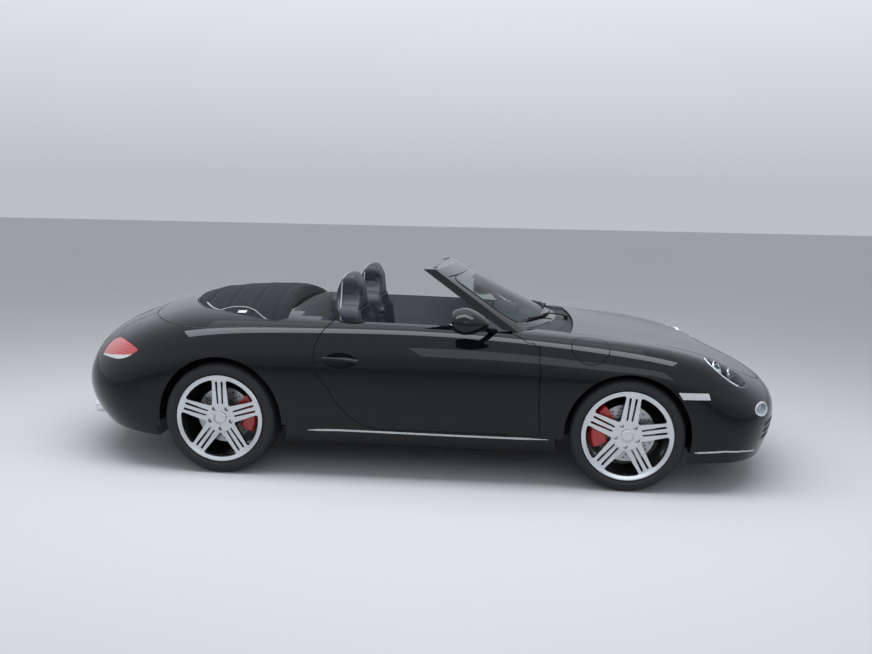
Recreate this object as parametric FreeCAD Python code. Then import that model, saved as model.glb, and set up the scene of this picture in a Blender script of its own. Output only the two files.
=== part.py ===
"""Open two-door convertible car with a rear engine, its folding top stowed.

Millimetres, +Z up, +X to the front and +Y to the left side. The origin is on the ground, midway between
the bumpers. One smooth outer form is made from a table of sections, and every body panel is cut from it.
Lengthwise places in the outlines are measured from the front axle, forward positive.
"""

import math
import os

import FreeCAD
import Part

V = FreeCAD.Vector
X_AXIS = V(1, 0, 0)
Y_AXIS = V(0, 1, 0)
Z_AXIS = V(0, 0, 1)

# Driving dimensions
length = 4435.0
wheelbase = 2350.0
front_overhang = 965.0
floor_height = 185.0
far = 1500.0

# Gaps and fits
lid_gap = 7.0
door_gap = 6.0
seat_gap = 0.3
pin_gap = 0.3
running_gap = 6.0

# Panel thicknesses
lid_skin = 10.0
lid_depth = 34.0
lid_inset = 14.0

front_axle_x = length / 2 - front_overhang
rear_axle_x = front_axle_x - wheelbase

# Wheels and brakes, one row for each axle
WHEELS = {
    "front": dict(tyre_radius=323.5, tyre_half=117.5, centre_y=743.0, rim_half=111.0, hub_face=57.0,
                  arch_radius=355.0, well_radius=405.0, well_inner_y=460.0, lip_y=842.0, kingpin_y=655.0,
                  caliper_toward=-1, caliper_low=-25.0, caliper_high=52.0, caliper_inner=112.0, caliper_outer=207.0,
                  spoke_turn=6.5),
    "rear": dict(tyre_radius=329.8, tyre_half=142.5, centre_y=748.0, rim_half=136.0, hub_face=58.0,
                 arch_radius=368.0, well_radius=398.0, well_inner_y=560.0, lip_y=868.0, kingpin_y=655.0,
                 caliper_toward=1, caliper_low=-28.0, caliper_high=42.0, caliper_inner=118.0, caliper_outer=200.0,
                 spoke_turn=0.0),
}
rim_lip_radius = 257.0
bead_radius = 243.0
barrel_radius = 234.0
barrel_wall = 8.0
spoke_count = 5
window_radius = 232.0
window_corner = 12.0
spoke_edge_rim = 40.0
spoke_edge_hub = 49.0
slot_corner = 4.0
lug_circle = 65.0
lug_hole_radius = 13.0
cap_radius = 33.0
tread_inset = 34.0
tread_crown = 2.0
disc_radius = 165.0
disc_thickness = 28.0
bell_radius = 92.0
spindle_radius = 24.0
hub_radius = 66.0

# Outer form: control points of one smooth surface, half of each section from the sill to the centre line.
# kind: "rear" and "front" sections are half planes through the axle line, at an angle up from the ground;
#       "mid" sections are upright, at a distance behind the front axle.
# s: distance along the section plane from its foot at floor height; y: half width there.
# kind, place, s0, y0, s1, y1, s2, y2, s3, y3, s4, y4, s5, y5, s6, y6, s at the centre line
SECTIONS = [
    ("rear", 3, 100, 850, 270, 862, 420, 852, 560, 812, 705, 722, 845, 570, 985, 320, 1062),
    ("rear", 10, 100, 860, 280, 876, 460, 868, 640, 826, 800, 742, 956, 592, 1112, 345, 1190),
    ("rear", 20, 100, 862, 280, 882, 460, 876, 645, 838, 810, 757, 971, 610, 1124, 365, 1209),
    ("rear", 32, 100, 864, 270, 886, 450, 884, 625, 854, 790, 776, 935, 640, 1062, 405, 1124),
    ("rear", 45, 100, 866, 260, 890, 440, 897, 595, 877, 728, 812, 845, 700, 938, 465, 998),
    ("rear", 65, 100, 868, 250, 895, 430, 907, 555, 896, 658, 848, 755, 745, 838, 500, 886),
    ("rear", 90, 100, 870, 250, 897, 420, 910, 540, 901, 632, 862, 708, 775, 765, 560, 822),
    ("mid", 1980, 0, 815, 90, 880, 330, 903, 500, 897, 622, 866, 708, 790, 742, 620, 785),
    ("mid", 1650, 0, 805, 75, 870, 280, 891, 475, 889, 612, 866, 706, 798, 732, 660, 752),
    ("mid", 1200, 0, 800, 70, 864, 260, 884, 460, 882, 604, 860, 704, 798, 724, 680, 732),
    ("mid", 750, 0, 795, 75, 858, 280, 878, 470, 876, 602, 854, 694, 792, 712, 640, 722),
    ("mid", 350, 0, 790, 80, 852, 300, 876, 485, 873, 604, 843, 676, 762, 684, 560, 700),
    ("front", 90, 100, 850, 250, 878, 420, 884, 530, 874, 608, 826, 662, 700, 632, 480, 640),
    ("front", 70, 100, 850, 250, 878, 430, 882, 540, 870, 618, 816, 672, 690, 640, 470, 646),
    ("front", 50, 100, 848, 250, 874, 440, 876, 570, 860, 672, 802, 748, 665, 716, 450, 716),
    ("front", 35, 100, 846, 260, 868, 450, 866, 610, 842, 716, 786, 800, 655, 826, 430, 850),
    ("front", 22, 100, 845, 270, 864, 450, 860, 610, 844, 762, 775, 880, 625, 969, 385, 1015),
    ("front", 12, 100, 845, 280, 862, 450, 856, 625, 832, 765, 745, 886, 580, 984, 335, 1038),
    ("front", 0, 100, 838, 280, 850, 430, 842, 565, 815, 690, 736, 800, 565, 880, 335, 918),
]


def at(dx):
    """A lengthwise place measured forward from the front axle."""
    return front_axle_x + dx


def mirrored(shape):
    return shape.mirror(V(0, 0, 0), Y_AXIS)


def both(shape):
    return [shape, mirrored(shape)]


def box(x0, x1, y0, y1, z0, z1):
    return Part.makeBox(x1 - x0, y1 - y0, z1 - z0, V(x0, y0, z0))


def rod(start, end, radius):
    return Part.makeCylinder(radius, (end - start).Length, start, end - start)


def outline(points, to_3d):
    """A closed wire. Each entry is a point, or a pair: a point on an arc and the arc's end."""
    edges = []
    here = to_3d(points[0])
    for entry in points[1:] + [points[0]]:
        if isinstance(entry[0], tuple):
            end = to_3d(entry[1])
            edges.append(Part.Arc(here, to_3d(entry[0]), end).toShape())
        else:
            end = to_3d(entry)
            if (end - here).Length < 1e-6:
                continue
            edges.append(Part.makeLine(here, end))
        here = end
    return Part.Wire(edges)


def side_prism(points, y0, y1, grow=0.0):
    """A prism across the car from an outline seen from the side: (place, height)."""
    wire = outline(points, lambda p: V(at(p[0]), y0, p[1]))
    if grow:
        wire = wire.makeOffset2D(grow, 0)
    return Part.Face(wire).extrude(V(0, y1 - y0, 0))


def plan_prism(points, z0, z1, grow=0.0):
    """An upright prism from an outline seen from above: (place, y)."""
    wire = outline(points, lambda p: V(at(p[0]), p[1], z0))
    if grow:
        wire = wire.makeOffset2D(grow, 0)
    return Part.Face(wire).extrude(V(0, 0, z1 - z0))


def two_sided(half):
    """A closed plan outline from its left half, which starts and ends on the centre line's side."""
    return half + [(x, -y) for x, y in reversed(half)]


def front_prism(points, x0, x1):
    """A prism along the car from an outline seen from the front: (y, height)."""
    wire = outline(points, lambda p: V(x0, p[0], p[1]))
    return Part.Face(wire).extrude(V(x1 - x0, 0, 0))


def turned(points, centre):
    """A ring about the line along Y through centre, from an outline of (radius, offset along Y)."""
    wire = outline(points, lambda p: centre + V(p[0], p[1], 0))
    return Part.Face(wire).revolve(centre, Y_AXIS, 360)


def spindle(centre, half, radius, along=X_AXIS, across=Y_AXIS):
    """A pointed round bar: an arc of the given height over a chord, turned about the chord."""
    ends = centre - along * half, centre + along * half
    arc = Part.Arc(ends[0], centre + across * radius, ends[1]).toShape()
    return Part.Face(Part.Wire([arc, Part.makeLine(ends[1], ends[0])])).revolve(centre, along, 360)


def moved(shape, by):
    copy = shape.copy()
    copy.translate(by)
    return copy


def lowered(shape, depth):
    return moved(shape, V(0, 0, -depth))


def joined(shapes):
    return shapes[0].fuse(shapes[1:]).removeSplitter()


def largest(shape):
    return max(shape.Solids, key=lambda s: s.Volume)


def save(name, *shapes):
    solids = [solid for shape in shapes for solid in shape.Solids]
    whole = solids[0] if len(solids) == 1 else Part.makeCompound(solids)
    if not whole.isValid():
        print("not valid:", name)
    whole.exportStep(f"parts/{name}.step")


# Outer form


def section_point(kind, place, s, y):
    if kind == "mid":
        return V(at(-place), y, floor_height + s)
    turn = math.radians(place)
    if kind == "front":
        return V(front_axle_x + s * math.cos(turn), y, floor_height + s * math.sin(turn))
    return V(rear_axle_x - s * math.cos(turn), y, floor_height + s * math.sin(turn))


def section_poles(row):
    kind, place = row[:2]
    half = [section_point(kind, place, row[k], row[k + 1]) for k in range(2, 16, 2)]
    crown = section_point(kind, place, row[16], 0)
    return [V(p.x, -p.y, p.z) for p in half] + [crown] + half[::-1]


def clamped_knots(count, degree=3):
    spans = count - degree
    knots = [k / spans for k in range(spans + 1)]
    return knots, [degree + 1] + [1] * (spans - 1) + [degree + 1]


def outer_form():
    """The closed form of the whole body: the smooth surface, a floor and a flat foot under each bumper."""
    poles = [section_poles(row) for row in SECTIONS]
    u_knots, u_mults = clamped_knots(len(poles))
    v_knots, v_mults = clamped_knots(len(poles[0]))
    surface = Part.BSplineSurface()
    surface.buildFromPolesMultsKnots(poles, u_mults, v_mults, u_knots, v_knots, False, False, 3, 3)
    right, left = surface.vIso(0).toShape(), surface.vIso(1).toShape()
    floor = Part.makeRuledSurface(right, left)
    feet = []
    for u in (0, 1):
        rim = surface.uIso(u).toShape()
        ends = [vertex.Point for vertex in rim.Vertexes]
        feet.append(Part.Face(Part.Wire([rim, Part.makeLine(ends[0], ends[-1])])))
    shell = Part.makeShell([surface.toShape(), floor] + feet)
    shell.sewShape()
    solid = Part.Solid(shell)
    if solid.Volume < 0:
        solid.reverse()
    return solid


def form_height(form, x, y=0.0):
    """The height of the outer form above one place."""
    probe = Part.makeLine(V(x, y, floor_height), V(x, y, far))
    return probe.common(form).BoundBox.ZMax


# Panel outlines

deck_seam_dx = -2950.0
DOOR = [
    (-1700, 1020), (-1700, 905), ((-1783, 770), (-1700, 540)), ((-1602, 398), (-1440, 305)),
    (-507, 305), (-507, 690), ((-552, 800), (-655, 862)), (-690, 900), (-690, 1020),
]
BONNET = [
    (-325, -600), (480, -530), ((740, -440), (838, -240)), ((862, 0), (838, 240)),
    ((740, 440), (480, 530)), (-325, 600), ((-285, 0), (-325, -600)),
]
ENGINE_LID = [
    (-2923, -400), (-3190, -475), ((-3350, -270), (-3385, 0)), ((-3350, 270), (-3190, 475)), (-2923, 400),
    ((deck_seam_dx - 9, 0), (-2923, -400)),
]
TOP_LID = [
    (-2054, -750), ((-2084, -784), (-2150, -796)), (-2349, -796), ((-2650, -727), (-2819, -570)),
    ((-2880, -478), (-2914, -385)), ((deck_seam_dx, 0), (-2914, 385)), ((-2880, 478), (-2819, 570)),
    ((-2650, 727), (-2349, 796)), (-2150, 796), ((-2084, 784), (-2054, 750)),
    ((-2306, 660), (-2546, 534)), ((-2682, 320), (-2736, 0)), ((-2682, -320), (-2546, -534)),
    ((-2306, -660), (-2054, -750)),
]
FOLDED_TOP = [
    (-1990, -700), (-2042, -740), ((-2298, -649), (-2536, -524)), ((-2670, -315), (-2724, 0)),
    ((-2670, 315), (-2536, 524)), ((-2298, 649), (-2042, 740)), (-1990, 700), (-2010, 560),
    ((-2050, 0), (-2010, -560)), (-1990, -700),
]
FRONT_BUMPER = [(245, 0), (245, 598), (403, 592), (519, 592), (610, 612), (760, 640), (1100, 700), (1100, 0)]
REAR_BUMPER = [(-2480, 0), (-2480, 632), (-2552, 648), (-2850, 708), (-2946, 729), (-3061, 740), (-3120, 820),
               (-3700, 820), (-3700, 0)]
FENDER_REAR = [(-501, 299), (-501, far), (1200, far), (1200, 0), (-300, 0), (-300, 299)]
FRONT_CORE = two_sided([(-509, 740), (-415, 740), (-415, 600), (-280, 600), (-280, 460), (785, 460)])
REAR_CORE = two_sided([(-2480, 560), (-3230, 560)])
UPPER_CABIN = two_sided([(-440, 600), (-665, 600), (-665, 712), (-1790, 712), (-1790, 640), (-1925, 640),
                         (-1925, 530), (-2000, 530)])
FLOOR_CABIN = two_sided([(-440, 590), (-1760, 590)])

door_inner_y = 706.0
door_skin_y = 800.0
door_shoulder_z = 850.0
door_axis_dx = -567.0
door_axis_y = 815.0
door_pin_radius = 8.0
door_pin_heights = (420.0, 620.0)
pillar_room_dx, pillar_room_y, pillar_room_z = -790.0, 757.0, 835.0
cabin_floor_z = 245.0
sill_top_z = 400.0
footwell_front = -330.0
footwell_half = 430.0
footwell_top = 560.0
cowl_z = 850.0
chassis_split_dx = -441.0

bonnet_axis_dx = -345.0
bonnet_axis_z = 822.0
bonnet_ear_y = 520.0
hinge_pin_radius = 6.0
hinge_eye_radius = 14.0
deck_axis_inset = 60.0
deck_axis_drop = 19.0
deck_pin_radius = 4.0
deck_eye_radius = 7.0
deck_hinge_y = 130.0
deck_pocket_radius = 114.0


def lid(form, points, prism=None):
    """A lid under the outer form: a thin skin to the edge, and a deeper frame set in from it."""
    skin = form.common(plan_prism(points, floor_height, far)).cut(lowered(form, lid_skin))
    frame = form.common(plan_prism(points, floor_height, far, -lid_inset)).cut(lowered(form, lid_depth))
    return largest(joined([largest(skin), largest(frame)]))


def lid_recess(form, points):
    """The space that a lid and its gap take out of the body."""
    return plan_prism(points, floor_height, far, lid_gap).cut(lowered(form, lid_depth + lid_gap))


def wheel_wells():
    cutters = []
    for axle, x in (("front", front_axle_x), ("rear", rear_axle_x)):
        w = WHEELS[axle]
        z = w["tyre_radius"]
        arch = rod(V(x, w["well_inner_y"], z), V(x, 1000, z), w["arch_radius"])
        well = rod(V(x, w["well_inner_y"], z), V(x, w["lip_y"], z), w["well_radius"])
        cutters += both(arch.fuse(well))
    return cutters


def door_axis_x():
    return at(door_axis_dx)


def door(form):
    """The left door: outer skin to the seam, inner box set in at the rear, pockets for the hinges."""
    skin = side_prism(DOOR, door_skin_y, far)
    inner = side_prism(DOOR, door_inner_y, door_skin_y, -lid_inset)
    shoulder = side_prism(DOOR, door_inner_y, door_skin_y).common(box(-far * 2, far * 2, 0, far, door_shoulder_z, far))
    front = side_prism(DOOR, door_inner_y, door_skin_y).common(box(at(-1100), at(0), 0, far, 0, far))
    shape = form.common(joined([skin, inner, shoulder, front]))
    x, y = door_axis_x(), door_axis_y
    for z in door_pin_heights:
        shape = shape.cut(box(x - 26, at(-400), 0, y + 26, z - 25, z + 25))
        shape = shape.cut(rod(V(x, y, z - 42), V(x, y, z + 42), door_pin_radius + pin_gap))
    return largest(shape.cut(box(at(pillar_room_dx), at(0), 0, pillar_room_y, pillar_room_z, far)))


handle_place = (-1632.0, 700.0)
handle_recess_half = 120.0
handle_bar_half = 125.0


def handle_centre(form):
    """Where the middle of the left door's handle lies on the outer form."""
    x, z = at(handle_place[0]), handle_place[1]
    probe = Part.makeLine(V(x, 600, z), V(x, far, z)).common(form)
    return V(x, probe.BoundBox.YMax, z)


def door_handle(form, shape):
    """The left door with an oval recess in its skin and a grip bar across it."""
    centre = handle_centre(form)
    recess = spindle(centre + V(0, 16, 0), handle_recess_half, 52)
    bar = spindle(centre + V(0, -5, 4), handle_bar_half, 14)
    return largest(shape.cut(recess).fuse(bar))


def door_aperture():
    """What is cut from the body for the left door and for the swing of its front edge."""
    x, y = door_axis_x(), door_axis_y
    hole = side_prism(DOOR, door_inner_y - door_gap, far, door_gap)
    low = rod(V(x, y, 299), V(x, y, 700), 90)
    high = Part.makeCone(90, 30, 130, V(x, y, 700), Z_AXIS)
    post_side = box(x - 200, x + 60 + door_gap, 0, far, 0, far)
    inner = rod(V(x, y, 299), V(x, y, 700), 131).common(post_side)
    inner_top = Part.makeCone(131, 112, 110, V(x, y, 700), Z_AXIS).common(post_side)
    return [hole, low, high, inner, inner_top]


def door_brackets():
    """The left door's hinge arms and pins, carried by the post."""
    x, y = door_axis_x(), door_axis_y
    pieces = []
    for z in door_pin_heights:
        pieces.append(box(x - 18, x + 18, 650, y, z - 15, z + 15))
        pieces.append(rod(V(x, y, z - 15), V(x, y, z + 15), 18))
        pieces.append(rod(V(x, y, z - 38), V(x, y, z + 38), door_pin_radius))
    return pieces


def bonnet(form):
    shape = lid(form, BONNET)
    x, z = at(bonnet_axis_dx), bonnet_axis_z
    under_skin = lowered(form, lid_skin - 2)
    for side in (1, -1):
        y = side * bonnet_ear_y
        arm = box(x, at(-285), y - 8, y + 8, z - 14, far).common(under_skin)
        arm = arm.cut(box(x - 1, at(-326), y - 9, y + 9, z + 12, far))
        eye = rod(V(x, y - 8, z), V(x, y + 8, z), hinge_eye_radius)
        shape = shape.fuse([arm, eye])
        shape = shape.cut(rod(V(x, y - 9, z), V(x, y + 9, z), hinge_pin_radius + pin_gap))
    return largest(shape.removeSplitter())


def bonnet_hinge_room():
    x, z = at(bonnet_axis_dx), bonnet_axis_z
    return [box(x - 30, at(-275), s * bonnet_ear_y - 16, s * bonnet_ear_y + 16, z - 40, far) for s in (1, -1)]


def bonnet_pins():
    x, z = at(bonnet_axis_dx), bonnet_axis_z
    return [rod(V(x, s * bonnet_ear_y - 24, z), V(x, s * bonnet_ear_y + 24, z), hinge_pin_radius) for s in (1, -1)]


def deck_axis(form, edge_dx, toward):
    """The hinge line of a rear deck lid, set in from its straight edge, just under the crown of the form."""
    x = at(edge_dx + toward * deck_axis_inset)
    return V(x, 0, form_height(form, x) - deck_axis_drop)


def deck_lid(form, points, axis):
    shape = lid(form, points)
    for s in (1, -1):
        y = s * deck_hinge_y
        notch = box(axis.x - 45, axis.x + 45, y - 13, y + 13, 0, axis.z + 11).common(lowered(form, 6))
        bore = rod(V(axis.x, y - 30, axis.z), V(axis.x, y + 30, axis.z), deck_pin_radius + pin_gap)
        shape = shape.cut([notch, bore])
    return largest(shape)


def deck_brackets(axis):
    pieces = []
    for s in (1, -1):
        y = s * deck_hinge_y
        pieces.append(box(axis.x - deck_eye_radius, axis.x + deck_eye_radius, y - 6, y + 6, axis.z - deck_pocket_radius - 10, axis.z))
        pieces.append(rod(V(axis.x, y - 6, axis.z), V(axis.x, y + 6, axis.z), deck_eye_radius))
        pieces.append(rod(V(axis.x, y - 26, axis.z), V(axis.x, y + 26, axis.z), deck_pin_radius))
    return pieces


def deck_pocket(axis, half):
    return rod(V(axis.x, -half, axis.z), V(axis.x, half, axis.z), deck_pocket_radius)


# Windscreen: a curved slab leaning back between a low and a high line

screen_low = dict(z=850.0, centre=-322.0, side=-592.0, half=742.0)
screen_high = dict(z=1207.0, centre=-1062.0, side=-1130.0, half=545.0)


def screen_wire(z, inset, front, back):
    t = (z - screen_low["z"]) / (screen_high["z"] - screen_low["z"])
    centre, side, half = (screen_low[k] + t * (screen_high[k] - screen_low[k]) for k in ("centre", "side", "half"))
    sagitta = centre - side
    radius = (half * half + sagitta * sagitta) / (2 * sagitta)
    y = half - inset
    x = centre - radius + math.sqrt(radius * radius - y * y)

    def point(px, py, back_off):
        return V(at(px - back_off), py, z)

    outer = Part.Arc(point(x, -y, front), point(centre, 0, front), point(x, y, front)).toShape()
    inner = Part.Arc(point(x, y, back), point(centre, 0, back), point(x, -y, back)).toShape()
    return Part.Wire([outer, Part.makeLine(point(x, y, front), point(x, y, back)), inner,
                      Part.makeLine(point(x, -y, back), point(x, -y, front))])


def screen_slab(z0, z1, inset, front, back):
    return Part.makeLoft([screen_wire(z0, inset, front, back), screen_wire(z1, inset, front, back)], True, True)


# Wheels


def wheel_centre(axle):
    w = WHEELS[axle]
    x = front_axle_x if axle == "front" else rear_axle_x
    return V(x, w["centre_y"], w["tyre_radius"])


def tyre(axle):
    """A tyre with round shoulders and bulging side walls, its beads seated on the rim."""
    w = WHEELS[axle]
    r, half = w["tyre_radius"], w["tyre_half"]
    seat = w["rim_half"] - 16
    foot, shoulder = bead_radius + seat_gap, half - tread_inset
    profile = [
        (foot, -seat), (foot + 14, -seat - 6), ((foot + 40, -half), (r - 24, -half + 5)),
        ((r - 8, -half + 14), (r - tread_crown, -shoulder)), ((r, 0), (r - tread_crown, shoulder)),
        ((r - 8, half - 14), (r - 24, half - 5)), ((foot + 40, half), (foot + 14, seat + 6)), (foot, seat)]
    return turned(profile, wheel_centre(axle))


def window_shape(y0, y1):
    """The opening between two spokes, pointing up, with rounded corners."""
    spread = math.radians(180 / spoke_count)
    run = math.sqrt(window_radius ** 2 - spoke_edge_rim ** 2)
    corner = (run * math.sin(spread) - spoke_edge_rim * math.cos(spread),
              run * math.cos(spread) + spoke_edge_rim * math.sin(spread))
    root = spoke_edge_hub / math.sin(spread)
    points = [(0, root), corner, ((0, window_radius), (-corner[0], corner[1]))]
    wire = outline(points, lambda p: V(p[0], y0, p[1]))
    wire = wire.makeOffset2D(-window_corner, 0).makeOffset2D(window_corner, 0)
    return Part.Face(wire).extrude(V(0, y1 - y0, 0))


def slot_shape(side, y0, y1):
    """One of a spoke's two long slots, pointing up, with rounded ends."""
    points = [(side * x, z) for x, z in ((9, 80), (19, 86), (23.5, 218), (10.5, 221))]
    wire = outline(points, lambda p: V(p[0], y0, p[1]))
    wire = wire.makeOffset2D(-slot_corner, 0).makeOffset2D(slot_corner, 0)
    return Part.Face(wire).extrude(V(0, y1 - y0, 0))


def rim(axle):
    """The left rim: a dished face with five windows, its spokes split in three by slots, on a barrel."""
    w = WHEELS[axle]
    c = wheel_centre(axle)
    half, lip, bead, inner = w["rim_half"], rim_lip_radius, bead_radius, barrel_radius - barrel_wall
    barrel = turned([
        (inner, -half + 4), (inner + 4, -half), (lip, -half), (lip, -half + 8), (bead, -half + 14), (bead, -half + 45),
        (barrel_radius, -half + 60), (barrel_radius, half - 50), (bead, half - 38), (bead, half - 14),
        (lip, half - 8), (lip, half), (lip - 3, half + 2), (lip - 8, half + 2), (window_radius, half - 4),
        (inner, half - 30)], c)
    face = w["hub_face"]
    plate = turned([(0, face), (hub_radius, face), (spoke_edge_hub + 34, half - 42), (inner + 4, half - 34), (window_radius + 6, half - 5),
                    (window_radius, half - 5), ((150, half - 13), (80, half - 21)), (cap_radius + 8, half - 22),
                    (cap_radius + 8, half - 26), (cap_radius, half - 26), (cap_radius, half - 20), (cap_radius - 5, half - 16), (0, half - 16)], c)
    cutters = []
    for k in range(spoke_count):
        turn = 360.0 * k / spoke_count + w["spoke_turn"]
        window = window_shape(face - 5, half + 20)
        window.rotate(V(0, 0, 0), Y_AXIS, 180.0 / spoke_count)
        lug_turn = math.radians(180.0 / spoke_count)
        lug = V(lug_circle * math.sin(lug_turn), 0, lug_circle * math.cos(lug_turn))
        lug_hole = rod(lug + V(0, half - 38, 0), lug + V(0, half, 0), lug_hole_radius)
        tools = Part.makeCompound([window, lug_hole] + [slot_shape(side, face - 5, half + 20) for side in (1, -1)])
        tools.rotate(V(0, 0, 0), Y_AXIS, turn)
        tools.translate(c)
        cutters += tools.Solids
    bore = rod(c + V(0, face - 1, 0), c + V(0, face + 18, 0), spindle_radius + 12)
    return largest(plate.cut(cutters + [bore]).fuse(barrel))


def disc(axle):
    """Brake disc with its bell and hub, running on the spindle."""
    w = WHEELS[axle]
    c = wheel_centre(axle)
    face = w["hub_face"] - seat_gap
    inner = face - 52
    ring = inner + disc_thickness
    bore = spindle_radius + pin_gap
    return turned([
        (bore, face), (bell_radius, face), (bell_radius, ring), (disc_radius, ring), (disc_radius, inner),
        (bell_radius - 12, inner), (bell_radius - 12, face - 12), (bore + 22, face - 12), (bore + 22, inner - 6), (bore, inner - 6)], c)


def knuckle(axle):
    """The upright with its spindle, and lugs with bores for the upper and lower studs."""
    w = WHEELS[axle]
    c = wheel_centre(axle)
    face = w["hub_face"] - seat_gap
    back = face - 52 - 6 - 2
    king = w["kingpin_y"]
    spindle = rod(c + V(0, back - 20, 0), c + V(0, face - 4, 0), spindle_radius)
    plate = rod(V(c.x, king - 26, c.z), V(c.x, c.y + back, c.z), 62)
    post = box(c.x - 26, c.x + 26, king - 26, king + 22, c.z - knuckle_reach, c.z + knuckle_reach)
    shape = joined([plate, spindle, post])
    for s in (1, -1):
        z = c.z + s * (knuckle_reach - 30)
        shape = shape.cut(rod(V(c.x, king, z), V(c.x, king, z + s * 40), stud_radius + pin_gap))
    return largest(shape)


knuckle_reach = 132.0
stud_radius = 10.0
caliper_reach = 30.0


def caliper(axle):
    """A brake caliper over the disc's edge, and the arm that carries it on the upright."""
    w = WHEELS[axle]
    c = wheel_centre(axle)
    disc_in = w["hub_face"] - seat_gap - 52
    disc_out = disc_in + disc_thickness
    toward = w["caliper_toward"]
    sector = [V(0, 0, 0)]
    for degrees in (w["caliper_low"], w["caliper_high"]):
        angle = math.radians(degrees)
        sector.append(V(toward * math.cos(angle), 0, math.sin(angle)) * 2 * w["caliper_outer"])
    wedge = Part.Face(Part.makePolygon([c + p for p in sector + sector[:1]])).extrude(V(0, 400, 0))
    wedge.translate(V(0, -200, 0))
    back, front = disc_in - 42, disc_out + caliper_reach
    inner, outer = w["caliper_inner"], w["caliper_outer"]
    body = turned([(inner, back), (outer - 14, back), (outer, back + 14), (outer, front - 16), (outer - 12, front - 4),
                   (outer - 26, front), (inner + 8, front), (inner, front - 8)], c)
    slot = turned([(0, disc_in - 5), (disc_radius + 6, disc_in - 5), (disc_radius + 6, disc_out + 5),
                   (0, disc_out + 5)], c)
    window_low, window_high = (c + V(toward * outer * 0.9, y, z) for y, z in ((disc_in - 2, 6), (disc_out + 2, 58)))
    pad_window = box(min(window_low.x, window_low.x + toward * 90), max(window_low.x, window_low.x + toward * 90),
                     window_low.y, window_high.y, window_low.z, window_high.z)
    arm = box(c.x + min(0, toward * 140), c.x + max(0, toward * 140), c.y + back, c.y + back + 28, c.z + 10, c.z + 60)
    arm = arm.common(rod(c + V(0, -200, 0), c + V(0, 200, 0), inner - seat_gap))
    keep = rod(c + V(0, disc_in - 80, 0), c + V(0, disc_in, 0), 62)
    clamp = largest(body.common(wedge).cut([slot, pad_window]))
    return clamp, arm.cut(keep)


def arms(axle):
    """Upper and lower suspension arms, each with a stud that the upright turns on."""
    w = WHEELS[axle]
    c = wheel_centre(axle)
    king = w["kingpin_y"]
    wall = w["well_inner_y"]
    pieces = []
    for s in (1, -1):
        z = c.z + s * (knuckle_reach + 12)
        plan = Part.makePolygon([V(c.x + x, y, z - 6) for x, y in
                                 ((-80, wall), (80, wall), (20, king), (-20, king), (-80, wall))])
        arm = Part.Face(plan).extrude(V(0, 0, 12))
        eye = rod(V(c.x, king, z - 6), V(c.x, king, z + 6), 20)
        stud = rod(V(c.x, king, z), V(c.x, king, z - s * 36), stud_radius)
        pieces.append(joined([arm, eye, stud]))
    return pieces


# Cabin pieces

seat_half = 215.0
column_tilt = 25.0
wheel_grip_radius = 180.0
grip_thickness = 14.0
column_radius = 12.0
steering_centre = V(at(-905), 370, 735)


def column_direction():
    """Along the steering column, from the driver down to the front."""
    tilt = math.radians(column_tilt)
    return V(math.cos(tilt), 0, -math.sin(tilt))


def steering_wheel():
    """A three-spoke wheel, drawn flat about its centre and then leaned onto the column."""
    grip = Part.makeTorus(wheel_grip_radius, grip_thickness)
    hub = Part.makeCylinder(62, 36, V(0, 0, -18))
    spokes = [box(0, wheel_grip_radius, -14, 14, -6, 6) for _ in range(3)]
    for spoke, turn in zip(spokes, (0, 90, -90)):
        spoke.rotate(V(0, 0, 0), Z_AXIS, turn)
    shape = joined([grip, hub] + spokes)
    shape = shape.cut(Part.makeCylinder(column_radius + pin_gap, 40, V(0, 0, -24)))
    shape.rotate(V(0, 0, 0), Y_AXIS, column_tilt - 90)
    shape.translate(steering_centre)
    return largest(shape)


def steering_column():
    """The column's shroud and the end of its shaft, which the wheel turns on."""
    along = column_direction()
    shroud = rod(steering_centre + along * (18 + running_gap), steering_centre + along * 300, 36)
    shaft = rod(steering_centre + along * -14, steering_centre + along * 60, column_radius)
    return joined([shroud, shaft])


# Fuel flap in the right fender

flap_centre = (-220.0, 802.0, 820.0)
flap_lean = 43.0
flap_radius = 105.0
flap_gap = 5.0
flap_thickness = 12.0
flap_axis_ahead = 30.0
flap_axis_depth = 24.0
flap_pin_radius = 3.0
bowl_depth = 90.0


def flap_frame(form):
    """The right flap's outward direction, its centre on the form and its hinge line's place and direction."""
    lean = math.radians(flap_lean)
    out = V(0, -math.cos(lean), math.sin(lean))
    aim = V(at(flap_centre[0]), -flap_centre[1], flap_centre[2])
    ray = Part.makeLine(aim - out * 200, aim + out * 200).common(form)
    centre = max((v.Point for v in ray.Vertexes), key=lambda p: p.dot(out))
    hinge = centre + X_AXIS * flap_axis_ahead - out * flap_axis_depth
    return out, centre, hinge, out.cross(X_AXIS)


def fuel_flap(form):
    out, centre, hinge, along = flap_frame(form)
    inner = form.copy()
    inner.translate(out * -flap_thickness)
    shape = form.cut(inner).common(rod(centre - out * 60, centre + out * 60, flap_radius))
    shape = largest(shape)
    ear = rod(hinge - along * 4, hinge + along * 4, 7)
    web = rod(hinge - along * 4, hinge + along * 4, 5)
    web.translate(out * 6)
    shape = shape.fuse([ear, web])
    return largest(shape.cut(rod(hinge - along * 5, hinge + along * 5, flap_pin_radius + pin_gap)))


def flap_bowl(form):
    out, centre, hinge, along = flap_frame(form)
    return rod(centre - out * bowl_depth, centre + out * 60, flap_radius + flap_gap)


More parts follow.
